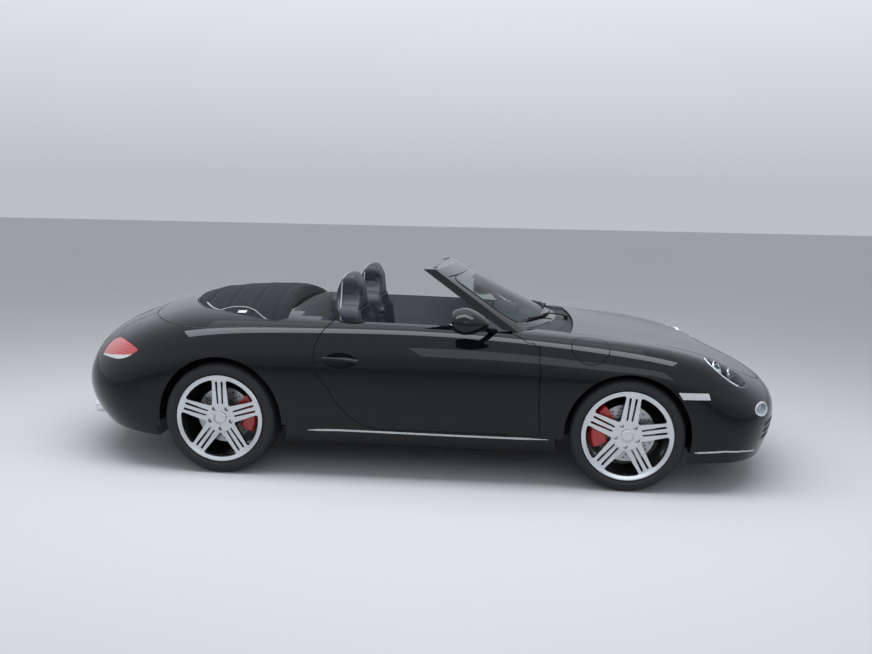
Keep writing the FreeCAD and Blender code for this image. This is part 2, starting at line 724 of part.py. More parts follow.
def flap_bracket(form):
    """Two cheeks from the floor of the bowl with the flap's pin, and the filler's cap."""
    out, centre, hinge, along = flap_frame(form)
    cheeks = []
    for s in (1, -1):
        cheek = rod(hinge + along * s * 6, hinge + along * s * 10, 6)
        post = rod(hinge + along * s * 8 - out * (bowl_depth - flap_axis_depth + 5), hinge + along * s * 8, 2)
        cheeks += [cheek, post]
    pin = rod(hinge - along * 10, hinge + along * 10, flap_pin_radius)
    cap_foot = centre - X_AXIS * 28 - out * (bowl_depth + 5)
    cap = rod(cap_foot, cap_foot + out * 38, 38)
    return cheeks + [pin, cap]


# Lamps: each sits in an oval recess, along an outward direction
# place, y and height of the centre on the left, outward direction, long direction, half sizes, depth, rim width

LAMPS = {
    "headlamp": dict(centre=(548, 650, 669), out=(0.62, 0.25, 0.74), along=(0.74, 0, -0.62), half_long=142.0,
                     half_short=102.0, depth=110.0, rim=5.0, projector=40.0),
    "front_lamp": dict(centre=(770, 664, 470), out=(0.85, 0.53, 0), along=(-0.53, 0.85, 0), half_long=84.0,
                       half_short=37.0, depth=55.0, rim=8.0, projector=0.0),
}
SIDE_MARKER = [(262, 589), (430, 586), (442, 549), (288, 551)]
TAIL_LAMP = [(-3194, 627), (-3186, 660), ((-3125, 722), (-3035, 741)), ((-2950, 728), (-2872, 702)),
             ((-2960, 650), (-3080, 632))]
lamp_gap = 3.0
lens_thickness = 4.0
lens_gap = 0.8
marker_depth = 12.0
tail_lamp_depth = 40.0
into_tail = V(0.5, -0.8, -0.2)


def lamp_tool(lamp, grow, back, ahead):
    """An oval bar along the lamp's outward direction, from behind to ahead of its centre."""
    out, along = V(*lamp["out"]).normalize(), V(*lamp["along"]).normalize()
    place, y, z = lamp["centre"]
    foot = V(at(place), y, z) + out * back
    across = out.cross(along)
    oval = Part.Ellipse(foot + along * (lamp["half_long"] + grow), foot + across * (lamp["half_short"] + grow), foot)
    return Part.Face(Part.Wire([oval.toShape()])).extrude(out * (ahead - back))


def lamp_recess(lamp):
    return lamp_tool(lamp, lamp_gap, -lamp["depth"], far / 4)


def lamp_lens(form, lamp):
    plug = form.common(lamp_tool(lamp, -lamp["rim"], -lamp["depth"], far / 4))
    return largest(plug.cut(moved(form, V(*lamp["out"]).normalize() * -lens_thickness)))


def lamp_bowl(form, lamp):
    """The lamp's inside: an oval bowl with a rim round the lens, and the round lamps on its floor."""
    out, along = V(*lamp["out"]).normalize(), V(*lamp["along"]).normalize()
    depth, rim = lamp["depth"], lamp["rim"]
    below = moved(form, out * -(lens_thickness + lens_gap))
    seat = lamp_tool(lamp, lens_gap - rim, -depth - 10, far / 4)
    hollow = lamp_tool(lamp, -rim - 7, -depth + 8, far / 4)
    ring = form.common(lamp_tool(lamp, lamp_gap - lens_gap, -depth, far / 4)).cut(seat)
    cup = below.common(lamp_tool(lamp, lens_gap - rim, -depth, far / 4)).cut(hollow)
    bowl = largest(ring).fuse(largest(cup))
    if lamp["projector"]:
        place, y, z = lamp["centre"]
        foot = V(at(place), y, z) + out * (2 - depth)
        for shift, radius in ((-44, lamp["projector"]), (52, lamp["projector"] - 10)):
            start = foot + along * shift
            tube = rod(start, start + out * 46, radius).cut(rod(start + out * 30, start + out * 46, radius - 5))
            bulb = Part.makeSphere(radius - 7, start + out * radius)
            bowl = bowl.fuse([tube, bulb])
    return largest(bowl)


# Door mirrors

MIRROR_FRONT = [(862, 905), ((965, 884), (1062, 900)), ((1088, 960), (1062, 1018)), ((960, 1052), (868, 1030)),
                ((848, 968), (862, 905))]
MIRROR_PLAN = [(-940, 846), ((-845, 842), (-800, 900)), ((-790, 960), (-808, 1030)), ((-850, 1087), (-940, 1092))]
MIRROR_SIDE = [(-940, 886), ((-838, 896), (-789, 965)), ((-832, 1036), (-940, 1050))]
MIRROR_ROOT = [(-715, 850), (-715, 905), (-850, 930), (-850, 850)]
MIRROR_TIP = [(-835, 925), (-835, 965), (-915, 965), (-915, 925)]


def mirror(form):
    """The left mirror: a rounded housing, flat behind, on an arm from the door's upper front corner."""
    housing = front_prism(MIRROR_FRONT, at(-1000), at(-700))
    housing = housing.common(plan_prism(MIRROR_PLAN, 850, 1100)).common(side_prism(MIRROR_SIDE, 800, 1120))
    arm_ends = [outline(points, lambda p, y=y: V(at(p[0]), y, p[1])) for points, y in ((MIRROR_ROOT, 765), (MIRROR_TIP, 905))]
    arm = Part.makeLoft(arm_ends, True, True).cut(lowered(form, -seat_gap))
    return largest(joined([housing, arm]))


def seat(y):
    """A bucket seat with its headrest in one back, on a low base."""
    base = box(at(-1600), at(-1200), y - 190, y + 190, cabin_floor_z, 300)
    cushion = side_prism([(-1130, 300), (-1130, 400), ((-1160, 440), (-1215, 445)), (-1500, 400), (-1600, 400), (-1620, 300)],
                         y - seat_half, y + seat_half)
    back = side_prism([(-1500, 395), (-1632, 395), (-1745, 900), ((-1760, 1130), (-1735, 1165)), ((-1705, 1180), (-1672, 1160)),
                       ((-1650, 1100), (-1645, 900)), (-1600, 700)],
                       y - seat_half, y + seat_half)
    shape = [(-seat_half, 300), (-seat_half, 860), ((-208, 930), (-150, 985)), ((-120, 1030), (-115, 1100)),
             ((-95, 1162), (-60, 1175)), (60, 1175), ((95, 1162), (115, 1100)), ((120, 1030), (150, 985)),
             ((208, 930), (seat_half, 860)), (seat_half, 300)]
    front_view = Part.Face(outline(shape, lambda p: V(at(-2000), y + p[0], p[1]))).extrude(V(far, 0, 0))
    return joined([base, cushion, back.common(front_view)])


# Openings in the bumpers, seen from the front: y from, y to, lowest and highest, bars between them
INTAKES = [(-330, 330, 214, 300, 2), (430, 655, 285, 392, 2)]
intake_bar = 9.0
intake_depth = 45.0
plate_half = 262.0
plate_low, plate_high = 440.0, 560.0
plate_depth = 12.0
exhaust_y = 500.0
exhaust_z = 283.0
exhaust_end_dx = -3452.0
exhaust_radius = 46.0
exhaust_room = 62.0
silencer_wall_dx = -3180.0
grille_from_dx, grille_pitch, grille_count = -3030.0, 24.0, 6
grille_slot, grille_half, grille_depth = 11.0, 250.0, 12.0


def rounded_slot(y0, y1, z0, z1, x0, x1):
    """A slot along the car with half-round ends."""
    r, mid = (z1 - z0) / 2, (z0 + z1) / 2
    points = [(y0 + r, z0), (y1 - r, z0), ((y1, mid), (y1 - r, z1)), (y0 + r, z1), ((y0, mid), (y0 + r, z0))]
    return front_prism(points, x0, x1)


def intake_slots(form):
    """The slots of the front bumper's intakes, cut to an even depth behind its skin."""
    behind = moved(form, V(-intake_depth, 0, 0))
    slots = []
    for y0, y1, z0, z1, bars in INTAKES:
        height = (z1 - z0 - bars * intake_bar) / (bars + 1)
        for k in range(bars + 1):
            low = z0 + k * (height + intake_bar)
            slot = rounded_slot(y0, y1, low, low + height, at(600), at(1200)).cut(behind)
            slots += [slot] if y0 < 0 else both(slot)
    return slots


def plate_recess(form):
    ahead = moved(form, V(plate_depth, 0, 0))
    return box(at(-3700), at(-3200), -plate_half, plate_half, plate_low, plate_high).cut(ahead)


def exhaust_pipe():
    """The left tail pipe, running back from a silencer."""
    silencer_end, tip = at(-3235), at(exhaust_end_dx)
    pipe = rod(V(silencer_end, exhaust_y, exhaust_z), V(tip, exhaust_y, exhaust_z), exhaust_radius)
    hollow = rod(V(tip + 90, exhaust_y, exhaust_z), V(tip - 1, exhaust_y, exhaust_z), exhaust_radius - 4)
    silencer = rod(V(silencer_end, 350, exhaust_z + 22), V(silencer_end, 540, exhaust_z + 22), 52)
    hanger = box(silencer_end, at(silencer_wall_dx), 485, 525, exhaust_z + 12, exhaust_z + 32)
    return joined([silencer, pipe, hanger]).cut(hollow)


def grille_slots(form):
    under = lowered(form, grille_depth)
    slots = []
    for k in range(grille_count):
        x = at(grille_from_dx - k * grille_pitch)
        slots.append(box(x - grille_slot / 2, x + grille_slot / 2, -grille_half, grille_half, 700, far).cut(under))
    return slots


def main():
    os.makedirs("parts", exist_ok=True)
    form = outer_form()

    # Lids, with their hinge lines
    engine_axis = deck_axis(form, deck_seam_dx - 9, -1)
    top_axis = deck_axis(form, deck_seam_dx, 1)
    print("bonnet axis", at(bonnet_axis_dx), bonnet_axis_z)
    print("engine lid axis", engine_axis)
    print("top lid axis", top_axis)
    save("front_lid", bonnet(form))
    save("engine_lid", deck_lid(form, ENGINE_LID, engine_axis).cut(grille_slots(form)))
    save("top_lid", deck_lid(form, TOP_LID, top_axis))

    # Doors
    left_door = door_handle(form, door(form))
    save("door_left", left_door)
    save("door_right", mirrored(left_door))

    left_mirror = mirror(form)
    save("mirror_left", left_mirror)
    save("mirror_right", mirrored(left_mirror))
    save("fuel_flap", fuel_flap(form))

    # Body shell and its panels
    apertures = []
    for piece in door_aperture():
        apertures += both(piece)
    cowl = box(at(-600), at(-290), -600, 600, cowl_z, far)
    well_top = plan_prism(FOLDED_TOP, 700, far, 4)
    cabin = [
        plan_prism(UPPER_CABIN, sill_top_z, far),
        plan_prism(FLOOR_CABIN, cabin_floor_z, far),
        box(at(-460), at(footwell_front), -footwell_half, footwell_half, cabin_floor_z, footwell_top),
    ]
    bays = [
        box(at(-230), at(560), -400, 400, 330, far),
        box(at(-3190), at(-2720), -470, 470, 230, 660),
        box(at(-3190), at(-3100), -400, 400, 600, far),
        box(at(-3345), at(silencer_wall_dx), -560, 560, 0, 400),
    ]
    outer_pockets = intake_slots(form) + [plate_recess(form)]
    for lamp in LAMPS.values():
        outer_pockets += both(lamp_recess(lamp))
    marker_tool = side_prism(SIDE_MARKER, 600, far, lamp_gap)
    marker_floor = moved(form, V(0, -marker_depth - seat_gap, 0))
    tail_tool = side_prism(TAIL_LAMP, 400, far, lamp_gap)
    tail_floor = moved(form, into_tail * (tail_lamp_depth + seat_gap))
    outer_pockets += both(marker_tool.cut(marker_floor)) + both(tail_tool.cut(tail_floor))
    outer_pockets += both(rod(V(at(-3700), exhaust_y, exhaust_z), V(at(-3235), exhaust_y, exhaust_z), exhaust_room))
    cutters = (wheel_wells() + apertures + [cowl, well_top, flap_bowl(form)] + cabin + bays + bonnet_hinge_room() + [
        lid_recess(form, BONNET), lid_recess(form, ENGINE_LID), lid_recess(form, TOP_LID),
        deck_pocket(engine_axis, 520), deck_pocket(top_axis, 580)] + outer_pockets)

    shell = form.cut(cutters)
    bumper_front_zone = side_prism(FRONT_BUMPER, -far, far).cut(plan_prism(FRONT_CORE, 0, far))
    bumper_rear_zone = side_prism(REAR_BUMPER, -far, far).cut(plan_prism(REAR_CORE, 0, far))
    fender_zone = side_prism(FENDER_REAR, -far, far).cut(plan_prism(FRONT_CORE, 0, far)).cut(bumper_front_zone)
    save("front_bumper", form.common(bumper_front_zone).cut(cutters))
    save("rear_bumper", largest(form.common(bumper_rear_zone).cut(cutters)))
    save("front_fenders", shell.common(fender_zone).fuse(flap_bracket(form)))
    tub = shell.cut([bumper_front_zone, bumper_rear_zone, fender_zone])
    hardware = bonnet_pins() + deck_brackets(engine_axis) + deck_brackets(top_axis)
    for piece in door_brackets():
        hardware += both(piece)
    hardware += [rod(V(at(x), y, floor_height - 8), V(at(x), y, floor_height + 8), 32)
                 for x in (-520, -1860) for y in (700, -700)]
    tub = tub.fuse(hardware)
    ahead = box(at(chassis_split_dx), far * 3, -far, far, 0, far)
    print("tub solids", [round(s.Volume / 1e6, 3) for s in tub.Solids])
    save("body_tub", largest(tub.cut(ahead)))
    save("front_chassis", largest(tub.common(ahead)))

    # Lamps and exhaust
    lenses, bowls = [], []
    for lamp in LAMPS.values():
        lenses += both(lamp_lens(form, lamp))
        bowls += both(lamp_bowl(form, lamp))
    marker = form.cut(moved(form, V(0, -marker_depth, 0))).common(side_prism(SIDE_MARKER, 600, far))
    tail_lamp = form.cut(moved(form, into_tail * tail_lamp_depth)).common(side_prism(TAIL_LAMP, 400, far))
    save("lamp_lenses", *lenses, *both(largest(marker)), *both(largest(tail_lamp)))
    save("lamp_bowls", *bowls)
    save("exhaust", *both(exhaust_pipe()))

    # Windscreen
    frame = screen_slab(835, 1207, 0, 0, 75).cut(screen_slab(884, 1166, 48, -60, 150)).cut(shell)
    over_doors = [door_aperture()[0].common(lowered(form, -door_gap))]
    frame = lowered(frame.cut(over_doors + [mirrored(over_doors[0])]), -seat_gap)
    print("frame solids", [round(s.Volume / 1e6, 3) for s in frame.Solids])
    save("windscreen_frame", largest(frame))
    glass = screen_slab(884 + seat_gap, 1166 - seat_gap, 48 + seat_gap, 10, 24)
    save("windscreen", lowered(glass, -seat_gap))

    # Folded top
    crown = Part.makeCylinder(1650, 1200, V(at(-2850), 0, 1042 - 1650), X_AXIS)
    fabric = plan_prism(FOLDED_TOP, 700, far).common(crown)
    save("folded_top", fabric)

    # Running gear
    for axle in ("front", "rear"):
        for side in ("left", "right"):
            turn = (lambda s: s) if side == "left" else mirrored
            save(f"tyre_{axle}_{side}", turn(tyre(axle)))
            save(f"rim_{axle}_{side}", turn(rim(axle)))
            save(f"disc_{axle}_{side}", turn(disc(axle)))
    upright = knuckle("front")
    pads, arm = caliper("front")
    save("knuckle_left", joined([upright, arm]))
    save("knuckle_right", mirrored(joined([upright, arm])))
    save("caliper_front_left", pads)
    save("caliper_front_right", mirrored(pads))
    upright = knuckle("rear")
    pads, arm = caliper("rear")
    save("rear_hubs", *both(joined([upright, arm])))
    save("rear_calipers", *both(pads))
    save("front_suspension", *[s for a in arms("front") for s in both(a)])
    save("rear_suspension", *[s for a in arms("rear") for s in both(a)])

    # Cabin
    save("seat_left", seat(370))
    save("seat_right", seat(-370))
    rear_seat = side_prism([(-1800, 400), (-1800, 520), (-1925, 500), (-1960, 800), (-1999, 800), (-1999, 400)], 60, 480)
    save("rear_seats", *both(rear_seat))
    board = side_prism([(-441, 620), (-441, 845), (-560, 868), (-800, 850), ((-850, 800), (-830, 700)), (-700, 600)], -598, 598)
    board = board.cut(screen_slab(835, 1207, -5, -5, 80))
    save("steering_wheel", steering_wheel())
    console = side_prism([(-560, 245), (-560, 560), (-700, 595), (-950, 560), (-1100, 480), (-1700, 480), (-1700, 245)], -95, 95)
    save("dashboard", joined([largest(board), steering_column()]), console)
    save("engine_block", box(at(-3150), at(-2760), -330, 330, 230, 640))
    print("form box", form.optimalBoundingBox())


if __name__ == "__main__":
    main()
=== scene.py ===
import math

import bpy
import numpy as np
from mathutils import Matrix, Vector
from mathutils.bvhtree import BVHTree


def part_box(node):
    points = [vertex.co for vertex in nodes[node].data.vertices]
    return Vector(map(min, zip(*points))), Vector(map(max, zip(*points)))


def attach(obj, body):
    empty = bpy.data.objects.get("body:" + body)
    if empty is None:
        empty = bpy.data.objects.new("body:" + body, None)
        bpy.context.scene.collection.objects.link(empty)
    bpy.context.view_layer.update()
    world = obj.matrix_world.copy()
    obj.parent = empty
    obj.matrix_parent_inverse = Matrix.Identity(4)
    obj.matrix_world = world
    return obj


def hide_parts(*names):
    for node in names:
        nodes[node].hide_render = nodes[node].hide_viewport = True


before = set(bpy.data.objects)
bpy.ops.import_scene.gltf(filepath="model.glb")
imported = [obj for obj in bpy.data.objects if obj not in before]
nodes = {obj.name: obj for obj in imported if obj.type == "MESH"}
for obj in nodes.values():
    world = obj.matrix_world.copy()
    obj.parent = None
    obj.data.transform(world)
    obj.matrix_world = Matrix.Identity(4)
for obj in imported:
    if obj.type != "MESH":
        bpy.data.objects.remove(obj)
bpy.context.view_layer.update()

bpy.ops.object.select_all(action="DESELECT")

# The view: the camera stands to the right of the car, abreast of the door's front edge, at eye height, and
# looks a little down and to the rear.
camera_place = Vector((0.6355, -5.569, 1.640))
camera_yaw, camera_pitch, camera_roll = 0.100, -0.153, 0.018
focal_pixels = 852.3
photo_width = 872
sensor_width = 36.0
ahead = Vector((-math.sin(camera_yaw) * math.cos(camera_pitch),
                math.cos(camera_yaw) * math.cos(camera_pitch), math.sin(camera_pitch)))
level = Vector((math.cos(camera_yaw), math.sin(camera_yaw), 0))
upward = level.cross(ahead)
camera_right = level * math.cos(camera_roll) + upward * math.sin(camera_roll)
camera_up = upward * math.cos(camera_roll) - level * math.sin(camera_roll)
bpy.ops.object.camera_add()
camera = bpy.context.object
camera_turn = Matrix((camera_right, camera_up, -ahead)).transposed().to_4x4()
camera.matrix_world = Matrix.Translation(camera_place) @ camera_turn
camera.data.sensor_width = sensor_width
camera.data.lens = focal_pixels / photo_width * sensor_width
camera.data.clip_end = 200
bpy.context.scene.camera = camera
bpy.context.scene.view_settings.view_transform = "Standard"

# The studio: a pale floor, even room light, a backdrop that shades from grey at the horizon to pale above,
# and three soft lamps: one over the car, a long strip over its right shoulder and one behind the camera.
bpy.ops.mesh.primitive_plane_add(size=80, location=(0, 0, 0))
floor = bpy.context.object
floor.name = "floor"


class Value:
    """One value or colour that varies over a surface. Maths on it adds the nodes that work it out."""

    def __init__(self, finish, link):
        self.finish, self.link = finish, link

    def maths(self, operation, first, second=0.0):
        return self.finish.maths(operation, first, second)

    def __add__(self, other):
        return self.maths("ADD", self, other)

    def __radd__(self, other):
        return self.maths("ADD", other, self)

    def __sub__(self, other):
        return self.maths("SUBTRACT", self, other)

    def __rsub__(self, other):
        return self.maths("SUBTRACT", other, self)

    def __mul__(self, other):
        return self.maths("MULTIPLY", self, other)

    def __rmul__(self, other):
        return self.maths("MULTIPLY", other, self)

    def __truediv__(self, other):
        return self.maths("DIVIDE", self, other)

    def over(self, low, high):
        """0 where the value is under low, 1 where it is over high, and smooth between them."""
        return self.finish.node("MapRange", {0: self, 1: low, 2: high, 3: 0.0, 4: 1.0},
                                interpolation_type="SMOOTHSTEP")

    def wave(self, length):
        """A wave of the given length along the value, from -1 to 1."""
        return self.maths("SINE", self * (2 * math.pi / length))


class Finish:
    """The material of one surface of the car. What is the same all over it is set on the shader itself."""

    def __init__(self, name, colour, **fixed):
        self.material = bpy.data.materials.new(name)
        self.material.use_nodes = True
        self.tree = self.material.node_tree
        self.shader = next(n for n in self.tree.nodes if n.type == "BSDF_PRINCIPLED")
        self.shader.inputs["Base Color"].default_value = (*colour, 1)
        for key, value in fixed.items():
            self.shader.inputs[key.replace("_", " ")].default_value = value

    def node(self, kind, inputs=None, output=0, **settings):
        made = self.tree.nodes.new("ShaderNode" + kind)
        for key, value in settings.items():
            setattr(made, key, value)
        for key, value in (inputs or {}).items():
            if isinstance(value, Value):
                self.tree.links.new(value.link, made.inputs[key])
            else:
                made.inputs[key].default_value = value
        return Value(self, made.outputs[output])

    def maths(self, operation, first, second=0.0):
        return self.node("Math", {0: first, 1: second}, operation=operation)

    def place(self, location=(0, 0, 0), scale=(1, 1, 1), rotation=(0, 0, 0)):
        """The place on the car in metres, moved, turned and scaled."""
        here = self.node("TexCoord", output="Object")
        return self.node("Mapping",
                         {"Vector": here, "Location": location, "Scale": scale, "Rotation": rotation})

    def axis(self, name, location=(0, 0, 0)):
        return self.node("SeparateXYZ", {"Vector": self.place(location)}, output=name)

    def noise(self, scale, detail=3.0, roughness=0.5, stretch=(1, 1, 1)):
        return self.node("TexNoise", {"Vector": self.place(scale=stretch), "Scale": scale, "Detail": detail,
                                      "Roughness": roughness})

    def blend(self, amount, low, high):
        """A colour between two, or two values that vary."""
        low, high = ((*c, 1) if isinstance(c, tuple) else c for c in (low, high))
        return self.node("Mix", {0: amount, 6: low, 7: high}, output=2, data_type="RGBA")

    def relief(self, height, depth, strength=1.0):
        """Shades the surface as if it had this height, from 0 to 1, times depth in metres."""
        bump = self.node("Bump", {"Height": height, "Distance": depth, "Strength": strength})
        self.tree.links.new(bump.link, self.shader.inputs["Normal"])
        return self

    def varies(self, **inputs):
        for key, value in inputs.items():
            self.tree.links.new(value.link, self.shader.inputs[key.replace("_", " ")])
        return self


floor_colour = (0.62, 0.625, 0.63)
floor_finish = Finish("studio_floor", floor_colour, Roughness=0.85, Specular_IOR_Level=0.15)
floor_finish.varies(Base_Color=floor_finish.blend(floor_finish.noise(0.35, 4), (0.60, 0.605, 0.61),
                                                  (0.64, 0.645, 0.65)))
floor.data.materials.append(floor_finish.material)

room_light, room_strength = (0.90, 0.94, 1.0), 0.55
lamp_tint = (0.88, 0.94, 1.0)
backdrop_low, backdrop_high = (0.50, 0.53, 0.57), (0.86, 0.92, 1.0)
world = bpy.data.worlds.new("studio")
bpy.context.scene.world = world
world.use_nodes = True
sky = world.node_tree
sky.nodes.clear()
around = sky.nodes.new("ShaderNodeTexCoord")
split = sky.nodes.new("ShaderNodeSeparateXYZ")
ramp = sky.nodes.new("ShaderNodeValToRGB")
ramp.color_ramp.elements[0].position, ramp.color_ramp.elements[0].color = 0.02, (*backdrop_low, 1)
ramp.color_ramp.elements[1].position, ramp.color_ramp.elements[1].color = 0.30, (*backdrop_high, 1)
room = sky.nodes.new("ShaderNodeBackground")
room.inputs["Color"].default_value = (*room_light, 1)
room.inputs["Strength"].default_value = room_strength
shown = sky.nodes.new("ShaderNodeBackground")
rays = sky.nodes.new("ShaderNodeLightPath")
camera_or_gloss = sky.nodes.new("ShaderNodeMath")
camera_or_gloss.operation = "MAXIMUM"
seen = sky.nodes.new("ShaderNodeMath")
seen.operation = "MAXIMUM"
either = sky.nodes.new("ShaderNodeMixShader")
out = sky.nodes.new("ShaderNodeOutputWorld")
for source, target in (
    (around.outputs["Generated"], split.inputs[0]), (split.outputs["Z"], ramp.inputs[0]),
    (ramp.outputs["Color"], shown.inputs["Color"]),
    (rays.outputs["Is Camera Ray"], camera_or_gloss.inputs[0]),
    (rays.outputs["Is Glossy Ray"], camera_or_gloss.inputs[1]), (camera_or_gloss.outputs[0], seen.inputs[0]),
    (rays.outputs["Is Transmission Ray"], seen.inputs[1]), (seen.outputs[0], either.inputs[0]),
    (room.outputs[0], either.inputs[1]), (shown.outputs[0], either.inputs[2]),
    (either.outputs[0], out.inputs[0]), ):
    sky.links.new(source, target)

for name, place, size, power in (
    ("soft_lamp_over", (-0.4, 0.6, 4.8), (6.0, 3.2), 35),
    ("strip_lamp_shoulder", (-0.2, -1.0, 4.2), (7.4, 1.5), 190),
    ("soft_lamp_side", (1.8, -6.8, 3.4), (5.0, 2.0), 40),
):
    bpy.ops.object.light_add(type="AREA", location=place)
    lamp = bpy.context.object
    lamp.name = name
    lamp.data.shape = "RECTANGLE"
    lamp.data.size, lamp.data.size_y = size
    lamp.data.energy = power
    lamp.data.color = lamp_tint
    if name == "soft_lamp_side":
        lamp.rotation_euler = (Vector((0, 0, 0.5)) - Vector(place)).to_track_quat("-Z", "Y").to_euler()


# The painted body: pressed steel panels in gloss black with a clear coat. All of them are parts of one smooth
# form, which is made again here from its sections, so that reflections run evenly from panel to panel.
FORM_SECTIONS = [
    ("rear", 3, 100, 850, 270, 862, 420, 852, 560, 812, 705, 722, 845, 570, 985, 320, 1062),
    ("rear", 10, 100, 860, 280, 876, 460, 868, 640, 826, 800, 742, 956, 592, 1112, 345, 1190),
    ("rear", 20, 100, 862, 280, 882, 460, 876, 645, 838, 810, 757, 971, 610, 1124, 365, 1209),
    ("rear", 32, 100, 864, 270, 886, 450, 884, 625, 854, 790, 776, 935, 640, 1062, 405, 1124),
    ("rear", 45, 100, 866, 260, 890, 440, 897, 595, 877, 728, 812, 845, 700, 938, 465, 998),
    ("rear", 65, 100, 868, 250, 895, 430, 907, 555, 896, 658, 848, 755, 745, 838, 500, 886),
    ("rear", 90, 100, 870, 250, 897, 420, 910, 540, 901, 632, 862, 708, 775, 765, 560, 822),
    ("mid", 1980, 0, 815, 90, 880, 330, 903, 500, 897, 622, 866, 708, 790, 742, 620, 785),
    ("mid", 1650, 0, 805, 75, 870, 280, 891, 475, 889, 612, 866, 706, 798, 732, 660, 752),
    ("mid", 1200, 0, 800, 70, 864, 260, 884, 460, 882, 604, 860, 704, 798, 724, 680, 732),
    ("mid", 750, 0, 795, 75, 858, 280, 878, 470, 876, 602, 854, 694, 792, 712, 640, 722),
    ("mid", 350, 0, 790, 80, 852, 300, 876, 485, 873, 604, 843, 676, 762, 684, 560, 700),
    ("front", 90, 100, 850, 250, 878, 420, 884, 530, 874, 608, 826, 662, 700, 632, 480, 640),
    ("front", 70, 100, 850, 250, 878, 430, 882, 540, 870, 618, 816, 672, 690, 640, 470, 646),
    ("front", 50, 100, 848, 250, 874, 440, 876, 570, 860, 672, 802, 748, 665, 716, 450, 716),
    ("front", 35, 100, 846, 260, 868, 450, 866, 610, 842, 716, 786, 800, 655, 826, 430, 850),
    ("front", 22, 100, 845, 270, 864, 450, 860, 610, 844, 762, 775, 880, 625, 969, 385, 1015),
    ("front", 12, 100, 845, 280, 862, 450, 856, 625, 832, 765, 745, 886, 580, 984, 335, 1038),
    ("front", 0, 100, 838, 280, 850, 430, 842, 565, 815, 690, 736, 800, 565, 880, 335, 918),
]
front_axle, rear_axle = 1.2525, -1.0975
sill_height = 0.185


def form_pole(kind, place, along, half_width):
    """One control point of the body form, in metres, as the section table gives it in millimetres."""
    run = along / 1000
    turn = math.radians(place)
    if kind == "mid":
        return front_axle - place / 1000, half_width / 1000, sill_height + run
    if kind == "front":
        return front_axle + run * math.cos(turn), half_width / 1000, sill_height + run * math.sin(turn)
    return rear_axle - run * math.cos(turn), half_width / 1000, sill_height + run * math.sin(turn)


surface = bpy.data.curves.new("body_form", "SURFACE")
surface.dimensions = "3D"
for row in FORM_SECTIONS:
    half = [form_pole(*row[:2], row[k], row[k + 1]) for k in range(2, 16, 2)]
    section = [(x, -y, z) for x, y, z in half] + [form_pole(*row[:2], row[16], 0)] + half[::-1]
    spline = surface.splines.new("NURBS")
    spline.points.add(len(section) - 1)
    for point, place in zip(spline.points, section):
        point.co = (*place, 1)
        point.select = True
form_object = bpy.data.objects.new("body_form", surface)
bpy.context.collection.objects.link(form_object)
bpy.context.view_layer.objects.active = form_object
bpy.ops.object.mode_set(mode="EDIT")
bpy.ops.curve.make_segment()
bpy.ops.object.mode_set(mode="OBJECT")
for spline in surface.splines:
    spline.order_u = spline.order_v = 4
    spline.use_endpoint_u = spline.use_endpoint_v = True
    spline.resolution_u = spline.resolution_v = 16
    spline.use_smooth = True
smoothed = form_object.evaluated_get(bpy.context.evaluated_depsgraph_get())
smooth_mesh = bpy.data.meshes.new_from_object(smoothed)
bpy.data.objects.remove(form_object)
smooth_form = bpy.data.objects.new("smooth_form", smooth_mesh)
bpy.context.collection.objects.link(smooth_form)
smooth_form.hide_render = True
form_tree = BVHTree.FromObject(smooth_form, bpy.context.evaluated_depsgraph_get())


def choose(name, finishes, pick):
    """Gives a node of the frame its finishes. pick(middle, normal) names one of them for each face."""
    mesh = nodes[name].data
    mesh.materials.clear()
    keys = list(finishes)
    for key in keys:
        mesh.materials.append(finishes[key].material)
    for face in mesh.polygons:
        face.material_index = keys.index(pick(face.center, face.normal))


def cover(finish, *names):
    """Gives whole nodes of the frame one finish."""
    for name in names:
        nodes[name].data.materials.clear()
        nodes[name].data.materials.append(finish.material)


black_paint = Finish("black_paint", (0.003, 0.0032, 0.004), Roughness=0.35, Specular_IOR_Level=0.0,
                     Coat_Weight=1.0, Coat_Roughness=0.012, Coat_IOR=1.38)
black_paint.varies(Roughness=black_paint.noise(900, 2) * 0.1 + 0.3)
outer_gap = 0.0015


def on_outside(middle):
    found = form_tree.find_nearest(middle)
    return found[0] is not None and found[3] < outer_gap


def outer_face(middle, normal):
    return "paint" if on_outside(middle) else "edge"


inner_metal = Finish("primed_metal", (0.02, 0.021, 0.023), Roughness=0.45, Metallic=0.3)
inner_metal.varies(Roughness=inner_metal.noise(60, 3) * 0.25 + 0.35)
PANELS = ["front_fenders", "front_bumper", "rear_bumper", "front_lid", "door_left", "door_right",
          "engine_lid", "top_lid", "fuel_flap"]
for name in PANELS:
    choose(name, {"paint": black_paint, "edge": inner_metal}, outer_face)
cover(black_paint, "mirror_left", "mirror_right")


def smooth_panel(name):
    """Takes the shading of a panel's outer faces from the smooth form that all panels are part of."""
    node = nodes[name]
    bpy.ops.object.select_all(action="DESELECT")
    bpy.context.view_layer.objects.active = node
    outer = node.vertex_groups.new(name="outside")
    outer.add([v.index for v in node.data.vertices if on_outside(v.co)], 1.0, "REPLACE")
    shading = node.modifiers.new("shading", "DATA_TRANSFER")
    shading.object = smooth_form
    shading.use_loop_data = True
    shading.data_types_loops = {"CUSTOM_NORMAL"}
    shading.loop_mapping = "POLYINTERP_NEAREST"
    shading.vertex_group = "outside"
    shading.use_max_distance = True
    shading.max_distance = outer_gap
    bpy.ops.object.modifier_apply(modifier=shading.name)


